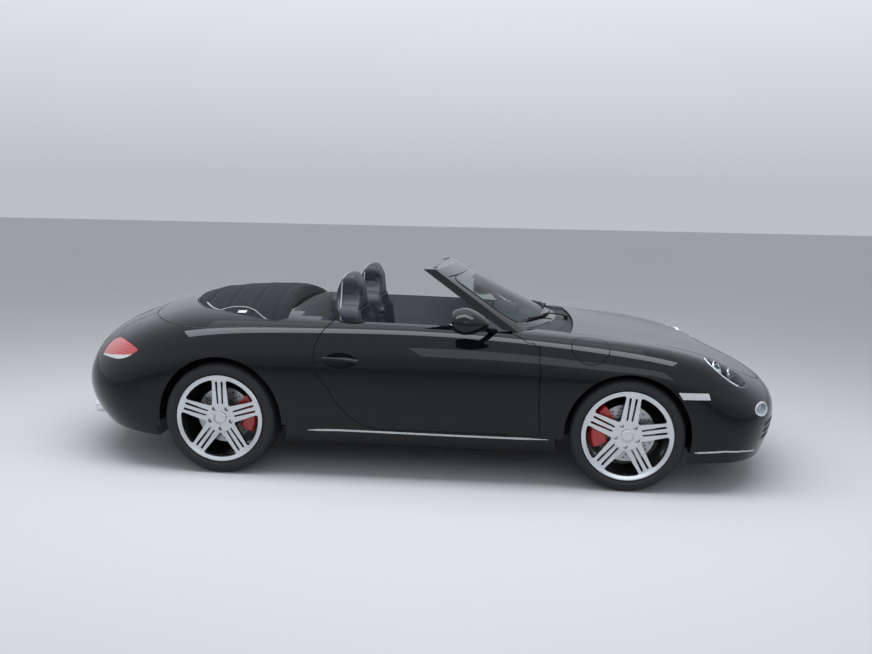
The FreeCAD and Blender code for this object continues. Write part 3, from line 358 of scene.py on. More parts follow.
# The shell behind the panels: painted where it shows outside, carpeted inside the cabin, and grey sealant
# under the floor and in the wheel arches.
carpet = Finish("cabin_carpet", (0.018, 0.019, 0.022), Roughness=0.95, Sheen_Weight=0.3, Sheen_Roughness=0.4)
carpet.varies(Base_Color=carpet.blend(carpet.noise(420, 3), (0.010, 0.011, 0.013), (0.032, 0.034, 0.038)))
carpet.relief(carpet.noise(700, 3), 0.002, 0.6)
sealant = Finish("underbody_sealant", (0.012, 0.012, 0.013), Roughness=0.85)
sealant.varies(Roughness=sealant.noise(35, 4) * 0.25 + 0.65)
sealant.relief(sealant.noise(240, 3), 0.0012, 0.5)


def shell_face(middle, normal):
    if on_outside(middle):
        return "paint"
    in_cabin = abs(middle.y) < 0.72 and -0.76 < middle.x < 0.83 and middle.z > 0.24
    return "carpet" if in_cabin else "sealant"


for name in ("body_tub", "front_chassis"):
    choose(name, {"paint": black_paint, "carpet": carpet, "sealant": sealant}, shell_face)
for name in PANELS + ["body_tub", "front_chassis"]:
    smooth_panel(name)


# The wheels: forged rims with a machined face over dark pockets, five bolts in their holes and a plain cap,
# and low tyres. Each rim's spokes stand turned on the axle as the car was parked.
machined = Finish("machined_metal", (0.62, 0.63, 0.65), Roughness=0.22, Metallic=1.0)
machined.varies(Roughness=machined.noise(180, 3, stretch=(1, 4, 1)) * 0.18 + 0.16,
                Base_Color=machined.blend(machined.noise(12, 2), (0.56, 0.57, 0.59), (0.68, 0.69, 0.70)))
dark_rim = Finish("dark_rim_paint", (0.018, 0.019, 0.021), Roughness=0.3, Metallic=0.5, Coat_Weight=0.5,
                  Coat_Roughness=0.08)
dark_rim.varies(Roughness=dark_rim.noise(90, 3) * 0.2 + 0.25)
bolt_steel = Finish("bolt_steel", (0.05, 0.05, 0.055), Roughness=0.35, Metallic=0.9)
bolt_steel.varies(Roughness=bolt_steel.noise(300, 2) * 0.2 + 0.25)
rubber = Finish("plain_rubber", (0.012, 0.012, 0.013), Roughness=0.75)
rubber.varies(Roughness=rubber.noise(120, 3) * 0.2 + 0.62)
tyre_width = {"front": 0.235, "rear": 0.285}
wheel_radius = {"front": 0.3235, "rear": 0.3298}
wheel_y = {"front": 0.743, "rear": 0.748}
axle_x = {"front": front_axle, "rear": rear_axle}
spoke_turn = {"front": 6.5, "rear": 0.0}
lug_circle = 0.065
lip_radius = 0.2285


def start(kind, name, place=(0, 0, 0), scale=(1, 1, 1), turn=(0, 0, 0), **options):
    """Begins a piece with one of Blender's primitives, at its place and size, and opens it for shaping."""
    bpy.ops.object.select_all(action="DESELECT")
    getattr(bpy.ops.mesh, "primitive_" + kind + "_add")(location=place, rotation=turn, **options)
    piece = bpy.context.object
    piece.name = name
    piece.data.name = name
    piece.scale = scale
    bpy.ops.object.transform_apply()
    bpy.ops.object.mode_set(mode="EDIT")
    bpy.context.tool_settings.mesh_select_mode = (False, False, True)
    return piece


def pick_faces(piece, test):
    """Selects the faces whose middle and normal pass a test, and nothing else."""
    bpy.ops.object.mode_set(mode="OBJECT")
    for part in (piece.data.vertices, piece.data.edges):
        for element in part:
            element.select = False
    for face in piece.data.polygons:
        face.select = test(face.center, face.normal)
    bpy.ops.object.mode_set(mode="EDIT")


def done(piece, body, finish, *modifiers, angle=35):
    """Closes a piece: its modifiers are applied, it gets its finish and it rides on its body."""
    bpy.ops.object.mode_set(mode="OBJECT")
    bpy.ops.object.select_all(action="DESELECT")
    piece.select_set(True)
    bpy.context.view_layer.objects.active = piece
    for kind, settings in modifiers:
        modifier = piece.modifiers.new(kind.lower(), kind)
        for key, value in settings.items():
            setattr(modifier, key, value)
        bpy.ops.object.modifier_apply(modifier=modifier.name)
    bpy.ops.object.shade_smooth_by_angle(angle=math.radians(angle))
    piece.data.materials.clear()
    piece.data.materials.append(finish.material)
    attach(piece, body)
    return piece


def copied(piece, name, body, change):
    """Another of the same piece, with a mesh of its own, moved or mirrored to its place."""
    twin = piece.copy()
    twin.data = piece.data.copy()
    twin.name = twin.data.name = name
    twin.data.transform(change)
    if change.determinant() < 0:
        twin.data.flip_normals()
    bpy.context.collection.objects.link(twin)
    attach(twin, body)
    return twin


soft_edges = ("BEVEL", {"width": 0.0015, "segments": 2, "limit_method": "ANGLE"})

bolt = start("cylinder", "lug_bolt", (0, 0, 0), vertices=6, radius=0.0085, depth=0.016,
             turn=(math.pi / 2, 0, 0))
pick_faces(bolt, lambda middle, normal: normal.y > 0.9)
bpy.ops.mesh.inset(thickness=0.0022)
bpy.ops.mesh.extrude_region_move(TRANSFORM_OT_translate={"value": (0, -0.004, 0)})
bpy.ops.object.mode_set(mode="OBJECT")
bolt.data.materials.append(bolt_steel.material)

for axle in ("front", "rear"):
    for side, sign in (("left", 1), ("right", -1)):
        middle = Vector((axle_x[axle], sign * wheel_y[axle], wheel_radius[axle]))
        wheel = f"wheel_{axle}_{side}"
        rim = nodes[f"rim_{axle}_{side}"]
        hub_y = max(v.co.y * sign for v in rim.data.vertices)

        def rim_face(place, normal, sign=sign, middle=middle, hub_y=hub_y):
            outward = normal.y * sign
            reach = math.hypot(place.x - middle.x, place.z - middle.z)
            deep = hub_y - place.y * sign
            if outward > 0.55 and (deep < 0.05 or reach < 0.1):
                return "face"
            return "face" if reach > lip_radius and deep < 0.02 else "dark"

        choose(rim.name, {"face": machined, "dark": dark_rim}, rim_face)
        turn = math.radians(spoke_turn[axle] * sign)
        for number in range(5):
            angle = turn + math.radians(90 + 36 + 72 * number)
            away = Vector((math.cos(angle) * lug_circle, 0, math.sin(angle) * lug_circle))
            face_y = sign * (hub_y - 0.052)
            spin = Matrix.Rotation(0 if sign > 0 else math.pi, 4, "Z")
            copied(bolt, f"lug_bolt_{axle}_{side}_{number}", wheel,
                   Matrix.Translation(Vector((middle.x + away.x, face_y, middle.z + away.z))) @ spin)

        tyre = Finish(f"tyre_rubber_{axle}_{side}", (0.014, 0.0145, 0.016), Roughness=0.6,
                      Specular_IOR_Level=0.35)
        across = tyre.axis("Y", (0, -middle.y, 0))
        forward = tyre.axis("X", (-middle.x, 0, 0))
        height = tyre.axis("Z", (0, 0, -middle.z))
        angle_round = tyre.maths("ARCTAN2", height, forward)
        reach = tyre.maths("SQRT", forward * forward + height * height)
        off = tyre.maths("ABSOLUTE", across)
        outermost = reach.over(wheel_radius[axle] - 0.02, wheel_radius[axle] - 0.012)
        tread = off.over(tyre_width[axle] * 0.40, tyre_width[axle] * 0.37) * outermost
        groove = tyre.maths("ABSOLUTE", (across + 0.5).wave(tyre_width[axle] * 0.22)).over(0.22, 0.34)
        slant = (angle_round + off * 2.2).wave(2 * math.pi / 72)
        blocks = groove * slant.over(-0.86, -0.72)
        ring = reach.over(0.2765, 0.278) - reach.over(0.2805, 0.282)
        shoulder = reach.over(wheel_radius[axle] - 0.026, wheel_radius[axle] - 0.022)
        shoulder = shoulder * (1 - reach.over(wheel_radius[axle] - 0.012, wheel_radius[axle] - 0.010))
        ribs = shoulder * angle_round.wave(2 * math.pi / 144).over(-0.2, 0.2)
        tyre.relief(tread * blocks + ring * 0.35 + ribs * 0.3 + tyre.noise(160, 3) * 0.06, 0.004, 0.9)
        worn = tread * groove
        tyre.varies(Base_Color=tyre.blend(worn, (0.0135, 0.0142, 0.0165), (0.022, 0.022, 0.0225)),
                    Roughness=tyre.noise(55, 3) * 0.16 + 0.5 + worn * 0.2)
        cover(tyre, f"tyre_{axle}_{side}")

        valve = start("cylinder", f"valve_{axle}_{side}",
                      (middle.x, sign * (hub_y - 0.02), middle.z - 0.222), vertices=12,
                      radius=0.0042, depth=0.03, turn=(math.pi / 2, 0, 0))
        done(valve, wheel, rubber, soft_edges)
bpy.data.objects.remove(bolt)

# The brakes: drilled iron discs with a bright swept ring, and red calipers bolted to grey knuckles.
hole_rows, hole_radius, holes_round = (0.112, 0.128, 0.144), 0.0045, 20
for axle in ("front", "rear"):
    for side, sign in (("left", 1), ("right", -1)):
        disc = Finish(f"brake_disc_{axle}_{side}", (0.32, 0.32, 0.33), Roughness=0.32, Metallic=1.0)
        forward = disc.axis("X", (-axle_x[axle], 0, 0))
        height = disc.axis("Z", (0, 0, -wheel_radius[axle]))
        reach = disc.maths("SQRT", forward * forward + height * height)
        angle_round = disc.maths("ARCTAN2", height, forward)
        holes = 0.0
        for row, radius in enumerate(hole_rows):
            near_row = disc.maths("ABSOLUTE", reach - radius) / hole_radius
            share = disc.maths("FRACT", angle_round * (holes_round / (2 * math.pi)) + row * 0.33 + 10)
            along = disc.maths("ABSOLUTE", share - 0.5) * (2 * math.pi * radius / holes_round / hole_radius)
            holes = (1 - (near_row * near_row + along * along).over(0.8, 1.2)) + holes
        swept = reach.over(0.096, 0.099)
        turned = disc.maths("ABSOLUTE", reach.wave(0.003))
        # The drilled holes are painted near black: painted shade inside them.
        disc.varies(Base_Color=disc.blend(holes, disc.blend(swept, (0.11, 0.11, 0.115), (0.42, 0.42, 0.43)),
                                          (0.004, 0.004, 0.004)),
                    Roughness=turned * 0.12 + 0.28 + (1 - swept) * 0.3)
        disc.relief(1 - holes, 0.0015, 0.8)
        cover(disc, f"disc_{axle}_{side}")
caliper_red = Finish("caliper_red", (0.50, 0.012, 0.010), Roughness=0.3, Coat_Weight=0.6, Coat_Roughness=0.1)
caliper_red.varies(Roughness=caliper_red.noise(70, 3) * 0.2 + 0.25,
                   Base_Color=caliper_red.blend(caliper_red.noise(25, 4), (0.42, 0.010, 0.008),
                                                (0.56, 0.016, 0.012)))
cover(caliper_red, "caliper_front_left", "caliper_front_right", "rear_calipers")
cast_metal = Finish("cast_metal", (0.16, 0.16, 0.165), Roughness=0.5, Metallic=0.9)
cast_metal.varies(Roughness=cast_metal.noise(80, 4) * 0.3 + 0.38)
cast_metal.relief(cast_metal.noise(420, 3), 0.0006, 0.6)
cover(cast_metal, "knuckle_left", "knuckle_right", "rear_hubs")
black_steel = Finish("black_steel", (0.015, 0.015, 0.016), Roughness=0.45, Metallic=0.4)
black_steel.varies(Roughness=black_steel.noise(60, 4) * 0.3 + 0.32)
cover(black_steel, "front_suspension", "rear_suspension")

# The windscreen: a laminated pane with a black printed border, in a painted frame whose foot is the ribbed
# plastic cowl. Two wipers rest along its lower edge.
pane = Finish("windscreen_glass", (0.004, 0.005, 0.005), Roughness=0.0, Specular_IOR_Level=0.5)
height = pane.axis("Z")
half_pane = 0.675 - (height - 0.885) * (0.176 / 0.281)
from_side = half_pane - pane.maths("ABSOLUTE", pane.axis("Y"))
border = (1 - from_side.over(0.018, 0.021)) + (1 - height.over(0.912, 0.915)) + height.over(1.136, 1.139)
see_through = pane.node("BsdfTransparent", {"Color": (0.86, 0.91, 0.89, 1)})
mirroring = pane.node("Fresnel", {"IOR": 1.52})
outward = 1 - pane.node("NewGeometry", output="Backfacing")
share = pane.maths("MINIMUM", mirroring * outward * 1.25 + border, 1.0)
pane_mix = pane.node("MixShader", {0: share, 1: see_through, 2: Value(pane, pane.shader.outputs[0])})
pane_out = next(n for n in pane.tree.nodes if n.type == "OUTPUT_MATERIAL")
pane.tree.links.new(pane_mix.link, pane_out.inputs["Surface"])
cover(pane, "windscreen")
cowl_plastic = Finish("cowl_plastic", (0.016, 0.0165, 0.018), Roughness=0.6)
cowl_plastic.varies(Roughness=cowl_plastic.noise(200, 2) * 0.15 + 0.5)
cowl_plastic.relief(cowl_plastic.axis("Y").wave(0.016).over(-0.3, 0.1), 0.003, 0.8)


def frame_face(middle, normal):
    if middle.z < 0.884 and abs(middle.y) < 0.63:
        return "cowl"
    return "inner" if normal.x < -0.35 and normal.z < 0.5 else "paint"


trim_black = Finish("soft_trim_black", (0.014, 0.0145, 0.016), Roughness=0.7)
trim_black.varies(Roughness=trim_black.noise(300, 2) * 0.15 + 0.6)
trim_black.relief(trim_black.noise(900, 2), 0.0004, 0.5)
choose("windscreen_frame", {"paint": black_paint, "cowl": cowl_plastic, "inner": trim_black}, frame_face)
pane_tree = BVHTree.FromObject(nodes["windscreen"], bpy.context.evaluated_depsgraph_get())


def rail(name, body, finish, points, radius, closed=False, sides=3):
    """A round bead, hose or rod through a few points, as one smooth tube."""
    line = bpy.data.curves.new(name, "CURVE")
    line.dimensions = "3D"
    line.bevel_depth = radius
    line.bevel_resolution = sides
    line.resolution_u = 6
    line.use_fill_caps = not closed
    spline = line.splines.new("NURBS")
    spline.points.add(len(points) - 1)
    for point, place in zip(spline.points, points):
        point.co = (*place, 1)
    spline.order_u = min(4, len(points))
    spline.use_endpoint_u = not closed
    spline.use_cyclic_u = closed
    shape = bpy.data.objects.new(name, line)
    bpy.context.collection.objects.link(shape)
    bpy.ops.object.select_all(action="DESELECT")
    shape.select_set(True)
    bpy.context.view_layer.objects.active = shape
    bpy.ops.object.convert(target="MESH")
    piece = bpy.context.object
    piece.data.materials.clear()
    piece.data.materials.append(finish.material)
    bpy.ops.object.shade_smooth()
    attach(piece, body)
    return piece


def on_pane(y, z, off=0.0):
    """A place on the outer face of the windscreen, and a little off it."""
    hit, normal, *_ = pane_tree.ray_cast(Vector((2, y, z)), Vector((-1, 0, 0)))
    return hit + normal * off


for name, inner, outer in (("right", 0.02, -0.56), ("left", 0.55, 0.06)):
    def blade_place(share, off, inner=inner, outer=outer):
        y = inner + (outer - inner) * share
        return on_pane(y, 0.899 + 0.018 * share, off)

    rail(f"wiper_blade_{name}", "body", rubber, [blade_place(k / 8, 0.006) for k in range(9)], 0.004)
    rail(f"wiper_bow_{name}", "body", black_steel, [blade_place(0.1 + 0.8 * k / 6, 0.014) for k in range(7)],
         0.005)
    pivot = Vector((front_axle - (0.345 if name == "right" else 0.475), inner,
                    0.868 if name == "right" else 0.874))
    rail(f"wiper_arm_{name}", "body", black_steel,
         [pivot + Vector((0.02, 0, 0.01)), pivot + Vector((0.0, -0.05, 0.022)),
          blade_place(0.3, 0.022), blade_place(0.5, 0.018)], 0.0055)
    foot = start("cylinder", f"wiper_pivot_{name}", pivot + Vector((0.02, 0, 0)), vertices=24, radius=0.013,
                 depth=0.035)
    done(foot, "body", black_steel, soft_edges)
seal_line = [(-0.655, 0.893), (-0.33, 0.891), (0.0, 0.891), (0.33, 0.891), (0.655, 0.893), (0.585, 1.0),
             (0.51, 1.12), (0.485, 1.157), (0.25, 1.161), (0, 1.161), (-0.25, 1.161), (-0.485, 1.157),
             (-0.51, 1.12), (-0.585, 1.0)]
rail("windscreen_seal", "body", rubber, [on_pane(y, z, 0.001) for y, z in seal_line], 0.004, closed=True)

# The lamps: clear lenses over dark bowls with bright reflectors, red lenses at the rear with a silver line
# below them, and white side lamps at the front, moulded in fine prisms.
chrome = Finish("bright_chrome", (0.78, 0.79, 0.80), Roughness=0.07, Metallic=1.0)
chrome.varies(Roughness=chrome.noise(150, 2) * 0.05 + 0.05)
lamp_black = Finish("lamp_housing", (0.16, 0.165, 0.17), Roughness=0.25, Metallic=0.85)
lamp_black.varies(Roughness=lamp_black.noise(120, 3) * 0.2 + 0.25)
lamp_white = Finish("lamp_reflector", (0.80, 0.82, 0.84), Roughness=0.25, Metallic=0.15)
# Each ridge is painted lighter on its crest and darker between: painted glints, besides the bump.
ridges_and_glints = lamp_white.axis("Z").wave(0.007) * 0.5 + 0.5
lamp_white.relief(ridges_and_glints, 0.002, 0.7)
lamp_white.varies(Base_Color=lamp_white.blend(ridges_and_glints, (0.66, 0.68, 0.70), (0.90, 0.91, 0.92)))
clear_lens = Finish("clear_lens", (0.02, 0.02, 0.02), Roughness=0.0, Specular_IOR_Level=0.5)
lens_through = clear_lens.node("BsdfTransparent", {"Color": (0.93, 0.95, 0.96, 1)})
lens_mirroring = clear_lens.node("Fresnel", {"IOR": 1.5})
lens_outward = 1 - clear_lens.node("NewGeometry", output="Backfacing")
lens_bright = lens_mirroring * lens_outward * 1.2 + clear_lens.noise(5, 2) * 0.02
lens_share = clear_lens.maths("MINIMUM", lens_bright, 1.0)
lens_mix = clear_lens.node("MixShader", {0: lens_share, 1: lens_through,
                                         2: Value(clear_lens, clear_lens.shader.outputs[0])})
clear_lens.tree.links.new(lens_mix.link, next(n for n in clear_lens.tree.nodes
                                              if n.type == "OUTPUT_MATERIAL").inputs["Surface"])
rear_red = Finish("rear_lamp_red", (0.45, 0.006, 0.008), Roughness=0.15, Coat_Weight=1.0,
                  Coat_Roughness=0.03)
line_height = rear_red.axis("Z") - 0.628 - (rear_red.axis("X") + (3.191 - front_axle)) * 0.1375
# The lens's facets are painted bright and dark red in turn: painted glints in the prisms.
facet_glints = rear_red.axis("Y").wave(0.02).over(-1, 1) * rear_red.axis("Z").wave(0.016).over(-1, 1)
silver_line = 1 - line_height.over(0.004, 0.007)
rear_red.varies(Base_Color=rear_red.blend(silver_line,
                                          rear_red.blend(facet_glints, (0.38, 0.004, 0.005), (0.80, 0.020, 0.018)),
                                          (0.62, 0.62, 0.63)),
                Roughness=rear_red.noise(80, 2) * 0.1 + 0.1)
side_white = Finish("side_marker_lens", (0.75, 0.76, 0.77), Roughness=0.25, Coat_Weight=1.0,
                    Coat_Roughness=0.05)
# The prisms are painted lighter and darker in turn: painted glints, besides the bump.
prisms = side_white.axis("X").wave(0.009).over(-1, 1) * side_white.axis("Z").wave(0.009).over(-1, 1)
side_white.varies(Base_Color=side_white.blend(prisms, (0.50, 0.52, 0.54), (0.88, 0.89, 0.90)))
side_white.relief(prisms, 0.001, 0.6)


def lens_face(middle, normal):
    if middle.x < 0:
        return "red"
    if abs(middle.y) > 0.80 and middle.x < 1.78 and middle.z < 0.62:
        return "marker"
    return "clear"


def bowl_face(middle, normal):
    lower_lamp = middle.z < 0.56
    return "white" if lower_lamp else "black"


choose("lamp_lenses", {"clear": clear_lens, "red": rear_red, "marker": side_white}, lens_face)
choose("lamp_bowls", {"black": lamp_black, "white": lamp_white}, bowl_face)


def round_part(name, body, finish, outline, place, axis, segments=48, angle=35):
    """A turned part: rings of (radius, along) drawn out one after another along an axis from a place."""
    point = 0.0002
    radius, along = outline[0]
    piece = start("circle", name, (0, 0, along), vertices=segments, radius=max(radius, point),
                  fill_type="NOTHING" if radius else "NGON")
    bpy.context.tool_settings.mesh_select_mode = (True, False, False)
    bpy.ops.mesh.select_all(action="SELECT")
    for wider, further in outline[1:]:
        bpy.ops.mesh.extrude_edges_move(TRANSFORM_OT_translate={"value": (0, 0, further - along)})
        share = max(wider, point) / max(radius, point)
        bpy.ops.transform.resize(value=(share, share, 1), center_override=(0, 0, further))
        radius, along = wider, further
    if not radius:
        bpy.ops.mesh.edge_face_add()
    bpy.ops.mesh.select_all(action="SELECT")
    bpy.ops.mesh.remove_doubles(threshold=1e-6)
    bpy.ops.mesh.normals_make_consistent(inside=False)
    bpy.ops.object.mode_set(mode="OBJECT")
    turned = Vector(axis).to_track_quat("Z", "Y").to_matrix().to_4x4()
    piece.data.transform(Matrix.Translation(Vector(place)) @ turned)
    return done(piece, body, finish, angle=angle)


for sign, side in ((-1, "right"), (1, "left")):
    hit, facing, *_ = form_tree.find_nearest(Vector((front_axle + 0.765, 0.655 * sign, 0.472)))
    round_part(f"front_lamp_frost_{side}", "body", side_white,
               [(0.040, -0.004), (0.040, 0.002), (0.034, 0.006), (0.016, 0.008), (0.0, 0.009)],
               hit - facing * 0.020, facing)
    facing = Vector((0.55, 0.28 * sign, 0.25)).normalized()
    for name, place, radius in (("main", (0.500, 0.655 * sign, 0.682), 0.052),
                                ("turn", (0.590, 0.590 * sign, 0.648), 0.034)):
        middle = Vector(place) + Vector((front_axle, 0, 0))
        round_part(f"headlamp_{name}_ring_{side}", "body", chrome,
                   [(radius, 0.0), (radius + 0.004, 0.006), (radius + 0.002, 0.012), (radius - 0.003, 0.010),
                    (radius - 0.006, -0.010), (radius * 0.55, -0.030), (0.0, -0.036)], middle, facing)
        round_part(f"headlamp_{name}_eye_{side}", "body", side_white,
                   [(radius * 0.62, -0.012), (radius * 0.60, -0.006), (radius * 0.45, 0.001),
                    (radius * 0.2, 0.005), (0.0, 0.006)], middle, facing)

# The fabric top, folded on the rear deck: cloth laid in soft folds over the bows, edged with light piping,
# with a curved flap and a blank tag on each side.
fabric_colours = (0.004, 0.0045, 0.006), (0.013, 0.0135, 0.017)
fabric = Finish("black_fabric", (0.016, 0.0165, 0.019), Roughness=0.9, Sheen_Weight=0.08,
                Sheen_Roughness=0.5, Specular_IOR_Level=0.2)
weave = fabric.axis("X").wave(0.0035) * fabric.axis("Y").wave(0.0035)
fabric.varies(Base_Color=fabric.blend(weave * 0.5 + 0.5, *fabric_colours),
              Roughness=fabric.noise(40, 4) * 0.15 + 0.8)
fabric.relief(weave * 0.35 + fabric.noise(60, 4) * 0.4, 0.0012, 0.6)
# A light grey finish: the folded top's piping, and on the seats a painted reflection along the backs' edges.
piping_and_painted_reflection = Finish("light_piping_and_painted_reflection", (0.42, 0.43, 0.44), Roughness=0.7)
piping_and_painted_reflection.varies(Roughness=piping_and_painted_reflection.noise(500, 2) * 0.2 + 0.6)


def solid_copy(name, node, *cuts):
    """A closed copy of a node of the frame, kept on one side of each plane (place, direction to cut away)."""
    mesh = nodes[node].data.copy()
    piece = bpy.data.objects.new(name, mesh)
    bpy.context.collection.objects.link(piece)
    bpy.ops.object.select_all(action="DESELECT")
    piece.select_set(True)
    bpy.context.view_layer.objects.active = piece
    bpy.ops.object.mode_set(mode="EDIT")
    bpy.ops.mesh.select_all(action="SELECT")
    bpy.ops.mesh.remove_doubles(threshold=1e-5)
    for place, direction in cuts:
        bpy.ops.mesh.select_all(action="SELECT")
        bpy.ops.mesh.bisect(plane_co=place, plane_no=direction, use_fill=True, clear_outer=True)
    bpy.ops.object.mode_set(mode="OBJECT")
    return piece


def reshape(piece, change):
    """Moves each vertex by change(place, normal)."""
    moves = [change(v.co, v.normal) for v in piece.data.vertices]
    for vertex, move in zip(piece.data.vertices, moves):
        vertex.co += move
    piece.data.update()


def evenly(piece, voxel, smooth):
    """Remakes the piece's skin in even faces and softens its corners."""
    bpy.ops.object.select_all(action="DESELECT")
    piece.select_set(True)
    bpy.context.view_layer.objects.active = piece
    for kind, settings in (("REMESH", {"mode": "VOXEL", "voxel_size": voxel}),
                           ("SMOOTH", {"iterations": smooth, "factor": 0.6})):
        modifier = piece.modifiers.new(kind.lower(), kind)
        for key, value in settings.items():
            setattr(modifier, key, value)
        bpy.ops.object.modifier_apply(modifier=modifier.name)


def bump_at(distance, width):
    return math.exp(-(distance / width) ** 2)


top_profile = ((-2.76, 0.968), (-2.62, 1.008), (-2.42, 1.032), (-2.25, 1.041), (-2.09, 1.040), (-2.01, 1.02),
               (-1.98, 0.985))
cloth = solid_copy("folded_fabric", "folded_top", ((0, 0, 0.80), (0, 0, -1)))
evenly(cloth, 0.012, 2)


def top_height(place):
    """How high the folded top reaches: lower to the rear and towards its sides."""
    along = [x for x, z in top_profile]
    return float(np.interp(place.x - front_axle, along, [z for x, z in top_profile])) - place.y ** 2 / 3.0


reshape(cloth, lambda place, normal: Vector((0, 0, min(0.0, top_height(place) - place.z))))
evenly(cloth, 0.012, 8)
pick_faces(cloth, lambda middle, normal: normal.z < -0.4 or middle.z < 0.82)
bpy.ops.mesh.delete(type="FACE")
bpy.ops.object.mode_set(mode="OBJECT")
fold_places = (-2.585, -2.435, -2.27, -2.125)


def fabric_fold(place, normal):
    along = place.x - front_axle
    bow = 0.05 * math.cos(place.y * 2.2)
    crease = sum(bump_at(along - x + bow - 0.05, 0.013) for x in fold_places)
    swell = math.sin(place.y * 9 + along * 17) * math.sin(along * 23 - place.y * 4)
    top = max(0.0, normal.z)
    return normal * (-0.009 * crease * top + 0.0025 * swell - 0.002)


reshape(cloth, fabric_fold)
done(cloth, "body", fabric, ("SOLIDIFY", {"thickness": 0.002, "offset": -1}),
     ("SUBSURF", {"levels": 1, "render_levels": 1}), angle=60)
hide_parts("folded_top")
cloth_tree = BVHTree.FromObject(cloth, bpy.context.evaluated_depsgraph_get())


def on_skin(tree, place, off):
    """The nearest place on a skin, and a little off it."""
    hit, normal, *_ = tree.find_nearest(Vector(place))
    return hit + normal * off


edge_points = [(-2.671, 0.265, 0.953), (-2.536, 0.522, 0.934), (-2.42, 0.593, 0.928), (-2.306, 0.638, 0.922),
               (-2.164, 0.699, 0.909), (-2.039, 0.738, 0.898)]
rear_edge = [(front_axle + x, -y, z) for x, y, z in edge_points[::-1]] + [(front_axle - 2.69, 0, 0.96)] + \
            [(front_axle + x, y, z) for x, y, z in edge_points]
edge_line = [on_skin(cloth_tree, (x, y, z + 0.016), 0.003) for x, y, z in rear_edge]
top_piping = [rail("fabric_edge_piping", "body", piping_and_painted_reflection, edge_line, 0.005)]
for sign, side in ((-1, "right"), (1, "left")):
    flap_line = [(-2.46, 0.575, 0.93), (-2.44, 0.55, 0.97), (-2.36, 0.53, 0.995), (-2.27, 0.55, 0.985),
                 (-2.21, 0.60, 0.96), (-2.17, 0.64, 0.93), (-2.10, 0.69, 0.905)]
    flap_edge = [on_skin(cloth_tree, (front_axle + x, sign * y, z), 0.001) for x, y, z in flap_line]
    top_piping.append(rail(f"fabric_flap_piping_{side}", "body", piping_and_painted_reflection, flap_edge, 0.003))
    tag = start("grid", f"fabric_tag_{side}", x_subdivisions=6, y_subdivisions=6, size=1)
    bpy.ops.object.mode_set(mode="OBJECT")
    corner = Vector((front_axle - 2.30, sign * 0.60, 0.955))
    for vertex in tag.data.vertices:
        across, down = vertex.co.x * 0.05, vertex.co.y * 0.028
        vertex.co = on_skin(cloth_tree, corner + Vector((across, -sign * down * 0.7, down)), 0.0015)
    tag_finish = Finish(f"blank_tag_{side}", (0.7, 0.7, 0.69), Roughness=0.8)
    tag_finish.varies(Roughness=tag_finish.noise(700, 2) * 0.2 + 0.65)
    tag_finish.relief(tag_finish.noise(900, 2), 0.0004, 0.4)
    top_piping.append(done(tag, "body", tag_finish, ("SOLIDIFY", {"thickness": 0.001, "offset": 1})))

# The seats: two bucket seats in dark leather, each a cushion and a tall back whose headrest is part of it,
# sewn in panels, with a light grey bead along the back's edge that is a painted reflection of the light on
# that edge, and bolted down on rails. Two small rear seats are one bench.
leather = Finish("seat_leather", (0.030, 0.034, 0.044), Roughness=0.5)
leather.varies(Base_Color=leather.blend(leather.noise(9, 3), (0.016, 0.019, 0.027), (0.025, 0.029, 0.040)),
               Roughness=leather.noise(30, 3) * 0.2 + 0.4)
grain = leather.node("TexVoronoi", {"Vector": leather.place(), "Scale": 420.0})
leather.relief(grain * 0.6 + leather.noise(30, 3) * 0.4, 0.0008, 0.5)


def swell(piece, most):
    """Fills the pad with air in a cloth simulation, and lets no place on it move further than most."""
    at_rest = [v.co.copy() for v in piece.data.vertices]
    bpy.context.scene.frame_set(1)
    air = piece.modifiers.new("air", "CLOTH")
    air.settings.use_pressure = True
    air.settings.uniform_pressure_force = 4
    air.settings.effector_weights.gravity = 0
    for number in range(1, 21):
        bpy.context.scene.frame_set(number)
    bpy.ops.object.modifier_apply(modifier=air.name)
    for vertex, rest in zip(piece.data.vertices, at_rest):
        move = vertex.co - rest
        if move.length > most:
            vertex.co = rest + move.normalized() * most
    bpy.context.scene.frame_set(1)


def seat_rear_x(height):
    """How far behind the front axle the back of a seat is, by height."""
    return float(np.interp(height, (0.395, 0.85, 1.09, 1.156), (-1.632, -1.704, -1.716, -1.706)))


